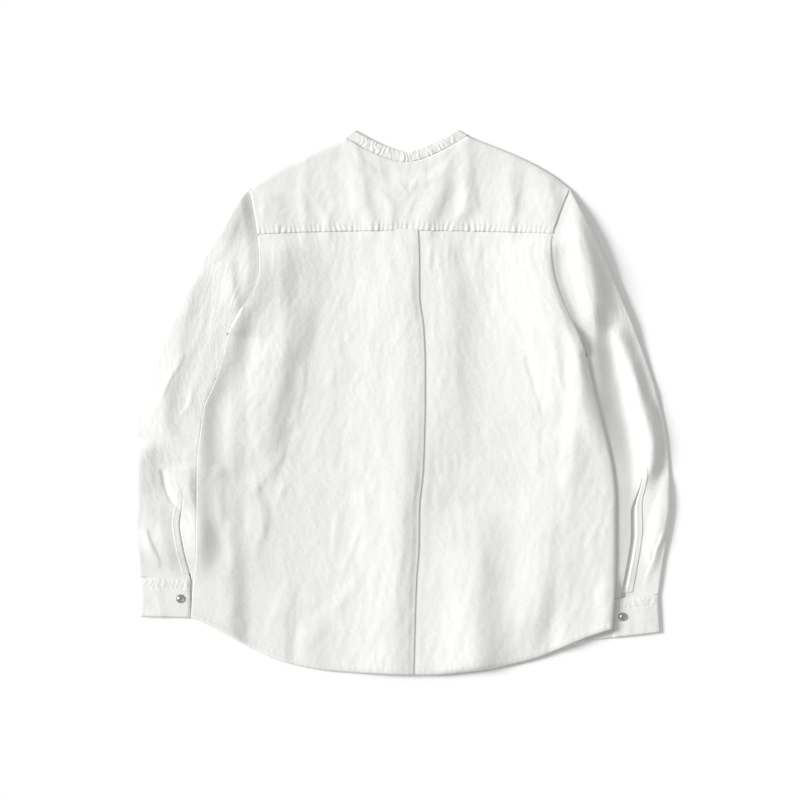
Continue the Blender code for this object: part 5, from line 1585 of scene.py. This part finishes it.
class ShirtStage(bpy.types.PropertyGroup):
    """Floor, light and camera"""
    floor_size: length("Floor", "Side of the square floor", 30.0)
    floor_colour: colour("Floor colour", "Colour of the floor", (0.98, 0.98, 0.98))
    sky_colour: colour("Sky colour", "Colour of the light from all round", (1.0, 0.998, 0.992))
    sky: Float(name="Sky", description="Strength of the light from all round", default=0.50,
               min=0.0)
    lamp: Float(name="Lamp", description="Strength of the large soft lamp", default=3.87, min=0.0)
    lamp_width: Float(name="Lamp width", description="Angle that the lamp fills",
                      default=math.radians(21.0), subtype="ANGLE", unit="ROTATION")
    lamp_height: Float(name="Lamp height", description="Angle of the lamp over the floor",
                       default=math.radians(26.0), subtype="ANGLE", unit="ROTATION")
    lamp_side: Float(name="Lamp side", description="Direction of the lamp, from +X to +Y",
                     default=math.radians(167.0), subtype="ANGLE", unit="ROTATION")
    camera_height: length("Camera height", "Height of the camera over the floor", 3.111)
    lens: Float(name="Lens", description="Focal length of the camera", default=100.0, min=1.0,
                unit="CAMERA")


def lay_sheet(piece, material, nodes):
    """Finishes a piece of cloth with its material, in the place of the CAD nodes."""
    finish_piece(piece, material, "linen" if material == outer_linen() else "linen_inside", *nodes)


class BuildBack(bpy.types.Operator):
    """Lays the two halves of the back, which meet in the centre pleat"""
    bl_idname = "shirt.build_back"
    bl_label = "Back"

    def execute(self, context):
        thickness = context.scene.shirt_linen.thickness
        for make in (make_back_left, make_back_right):
            lay_sheet(make(thickness), outer_linen(), ["back"])
        return {"FINISHED"}


class BuildYoke(bpy.types.Operator):
    """Lays the yoke over the shoulders"""
    bl_idname = "shirt.build_yoke"
    bl_label = "Yoke"

    def execute(self, context):
        lay_sheet(make_yoke(context.scene.shirt_linen.thickness), outer_linen(), ["yoke"])
        return {"FINISHED"}


class BuildFronts(bpy.types.Operator):
    """Lays the two fronts and their bands on the floor"""
    bl_idname = "shirt.build_fronts"
    bl_label = "Fronts and bands"

    def execute(self, context):
        thickness = context.scene.shirt_linen.thickness
        for name, sleeve, level, node in (
                ("front_left_panel", LEFT_SLEEVE, OUTER_BAND_LEVEL, "front_left"),
                ("front_right_panel", RIGHT_SLEEVE, INNER_BAND_LEVEL, "front_right")):
            lay_sheet(make_front(name, sleeve, level, thickness), inner_linen(), [node])
        for name, level, node in (("band_outer", OUTER_BAND_LEVEL, "front_band_left"),
                                  ("band_inner", INNER_BAND_LEVEL, "front_band_right")):
            lay_sheet(make_front_band(name, level, thickness), inner_linen(), [node])
        return {"FINISHED"}


class BuildCollar(bpy.types.Operator):
    """Runs the collar band round the neck"""
    bl_idname = "shirt.build_collar"
    bl_label = "Collar band"

    def execute(self, context):
        lay_sheet(make_collar(context.scene.shirt_linen.thickness), outer_linen(), ["collar"])
        return {"FINISHED"}


class BuildSleeves(bpy.types.Operator):
    """Lays the sleeves as flat tubes that open in a slit above the cuff"""
    bl_idname = "shirt.build_sleeves"
    bl_label = "Sleeves"

    def execute(self, context):
        for side, sleeve in SLEEVES.items():
            piece = make_sleeve("sleeve_cloth_" + side, sleeve,
                                context.scene.shirt_linen.thickness)
            lay_sheet(piece, outer_linen(), ["sleeve_" + side])
        return {"FINISHED"}


class BuildSlitBindings(bpy.types.Operator):
    """Sews the narrow bindings along the sleeves' slits"""
    bl_idname = "shirt.build_slit_bindings"
    bl_label = "Slit bindings"

    def execute(self, context):
        for side, sleeve in SLEEVES.items():
            piece = make_slit_binding("slit_facing_" + side, sleeve,
                                      context.scene.shirt_linen.thickness)
            finish_piece(piece, outer_linen(), "linen", "slit_binding_" + side)
        return {"FINISHED"}


class BuildCuffs(bpy.types.Operator):
    """Closes the cuffs round the sleeves' ends"""
    bl_idname = "shirt.build_cuffs"
    bl_label = "Cuffs"

    def execute(self, context):
        for side, cuff in CUFFS.items():
            piece = make_cuff("cuff_cloth_" + side, cuff,
                              context.scene.shirt_linen.cuff_thickness)
            lay_sheet(piece, outer_linen(), ["cuff_" + side])
        return {"FINISHED"}


class BuildStitches(bpy.types.Operator):
    """Runs the rows of stitching along the seams, hems, bands and cuffs"""
    bl_idname = "shirt.build_stitches"
    bl_label = "Stitches"

    def execute(self, context):
        rows = {
            "back_left": [hem_row(-286.0, 26.0, HEM_ROW_ABOVE), *PLEAT_STITCHES],
            "back_right": [hem_row(30.0, 288.0, HEM_ROW_ABOVE),
                           *edge_rows(RIGHT_EDGE, 234.0, 80.0)],
            "yoke_cloth": [*seam_rows(), *edge_rows(RIGHT_EDGE, 296.0, 238.0)],
            "collar_band": collar_rows(),
            "sleeve_cloth_left": edge_rows(LEFT_EDGE, 294.0, 100.0),
            "slit_facing_left": slit_rows(LEFT_SLEEVE),
            "slit_facing_right": slit_rows(RIGHT_SLEEVE),
            "cuff_cloth_left": cuff_rows(LEFT_CUFF),
            "cuff_cloth_right": cuff_rows(RIGHT_CUFF),
            "band_outer": band_rows(),
            "front_left_panel": [hem_row(-280.0, -12.0, FRONT_HEM_ROW_ABOVE, below=True)],
            "front_right_panel": [hem_row(24.0, 280.0, FRONT_HEM_ROW_ABOVE, below=True)],
        }
        for name, places in rows.items():
            piece = make_stitches("stitches_" + name, bpy.data.objects[name], places,
                                  context.scene.shirt_stitches)
            finish_piece(piece, sewing_thread(), "linen")
        return {"FINISHED"}


class FinishStuds(bpy.types.Operator):
    """Gives the press studs their metal"""
    bl_idname = "shirt.finish_studs"
    bl_label = "Press studs"

    def execute(self, context):
        settings = context.scene.shirt_studs
        metal = metal_material("polished_stud", settings.colour, settings.roughness)
        studs = [node for name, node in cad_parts.items() if "stud" in name]
        if not studs:
            raise RuntimeError("the frame has no press studs")
        for stud in studs:
            for slot in stud.material_slots:
                slot.material = metal
        return {"FINISHED"}


class BuildStage(bpy.types.Operator):
    """Sets the floor, the soft light and the camera"""
    bl_idname = "shirt.build_stage"
    bl_label = "Floor, light and camera"

    def execute(self, context):
        scene, settings = context.scene, context.scene.shirt_stage
        mesh = bpy.data.meshes.new("floor")
        half = settings.floor_size / 2
        mesh.from_pydata([(-half, -half, 0.0), (half, -half, 0.0), (half, half, 0.0),
                          (-half, half, 0.0)], [], [(0, 1, 2, 3)])
        mesh.materials.append(floor_material(settings.floor_colour))
        add_piece("floor", mesh)

        scene.world = bpy.data.worlds.new("studio")
        scene.world.use_nodes = True
        background = scene.world.node_tree.nodes["Background"]
        background.inputs["Color"].default_value = (*settings.sky_colour, 1.0)
        background.inputs["Strength"].default_value = settings.sky

        light = bpy.data.lights.new("lamp", "SUN")
        light.angle = settings.lamp_width
        light.energy = settings.lamp
        lamp = bpy.data.objects.new("lamp", light)
        scene.collection.objects.link(lamp)
        level = math.cos(settings.lamp_height)
        towards = Vector((level * math.cos(settings.lamp_side),
                          level * math.sin(settings.lamp_side), math.sin(settings.lamp_height)))
        lamp.rotation_euler = towards.to_track_quat("Z", "Y").to_euler()

        camera = bpy.data.objects.new("camera", bpy.data.cameras.new("camera"))
        scene.collection.objects.link(camera)
        camera.data.lens = settings.lens
        camera.data.sensor_width = SENSOR_WIDTH
        camera.location = (*CAMERA_OVER, settings.camera_height)
        scene.camera = camera
        scene.view_settings.view_transform = "Standard"
        return {"FINISHED"}


SETTINGS = {"shirt_linen": ShirtLinen, "shirt_stitches": ShirtStitches,
            "shirt_studs": ShirtStuds, "shirt_stage": ShirtStage}
STEPS = (BuildStage, BuildFronts, BuildSleeves, BuildSlitBindings, BuildCuffs, BuildBack,
         BuildYoke, BuildCollar, BuildStitches, FinishStuds)


class ShirtPanel(bpy.types.Panel):
    """Settings of the shirt and the steps that build it"""
    bl_idname = "VIEW3D_PT_shirt"
    bl_label = "Shirt"
    bl_space_type = "VIEW_3D"
    bl_region_type = "UI"
    bl_category = "Shirt"

    def draw(self, context):
        for name, group in SETTINGS.items():
            box = self.layout.box()
            box.label(text=group.__doc__)
            for key in group.__annotations__:
                box.prop(getattr(context.scene, name), key)
        for step in STEPS:
            self.layout.operator(step.bl_idname)


def register():
    for group in (*SETTINGS.values(), *STEPS, ShirtPanel):
        bpy.utils.register_class(group)
    for name, group in SETTINGS.items():
        setattr(bpy.types.Scene, name, bpy.props.PointerProperty(type=group))


def unregister():
    for name in SETTINGS:
        delattr(bpy.types.Scene, name)
    for group in reversed((*SETTINGS.values(), *STEPS, ShirtPanel)):
        bpy.utils.unregister_class(group)


def main():
    register()
    for step in STEPS:
        getattr(bpy.ops.shirt, step.bl_idname.split(".")[1])()


if __name__ == "__main__":
    main()
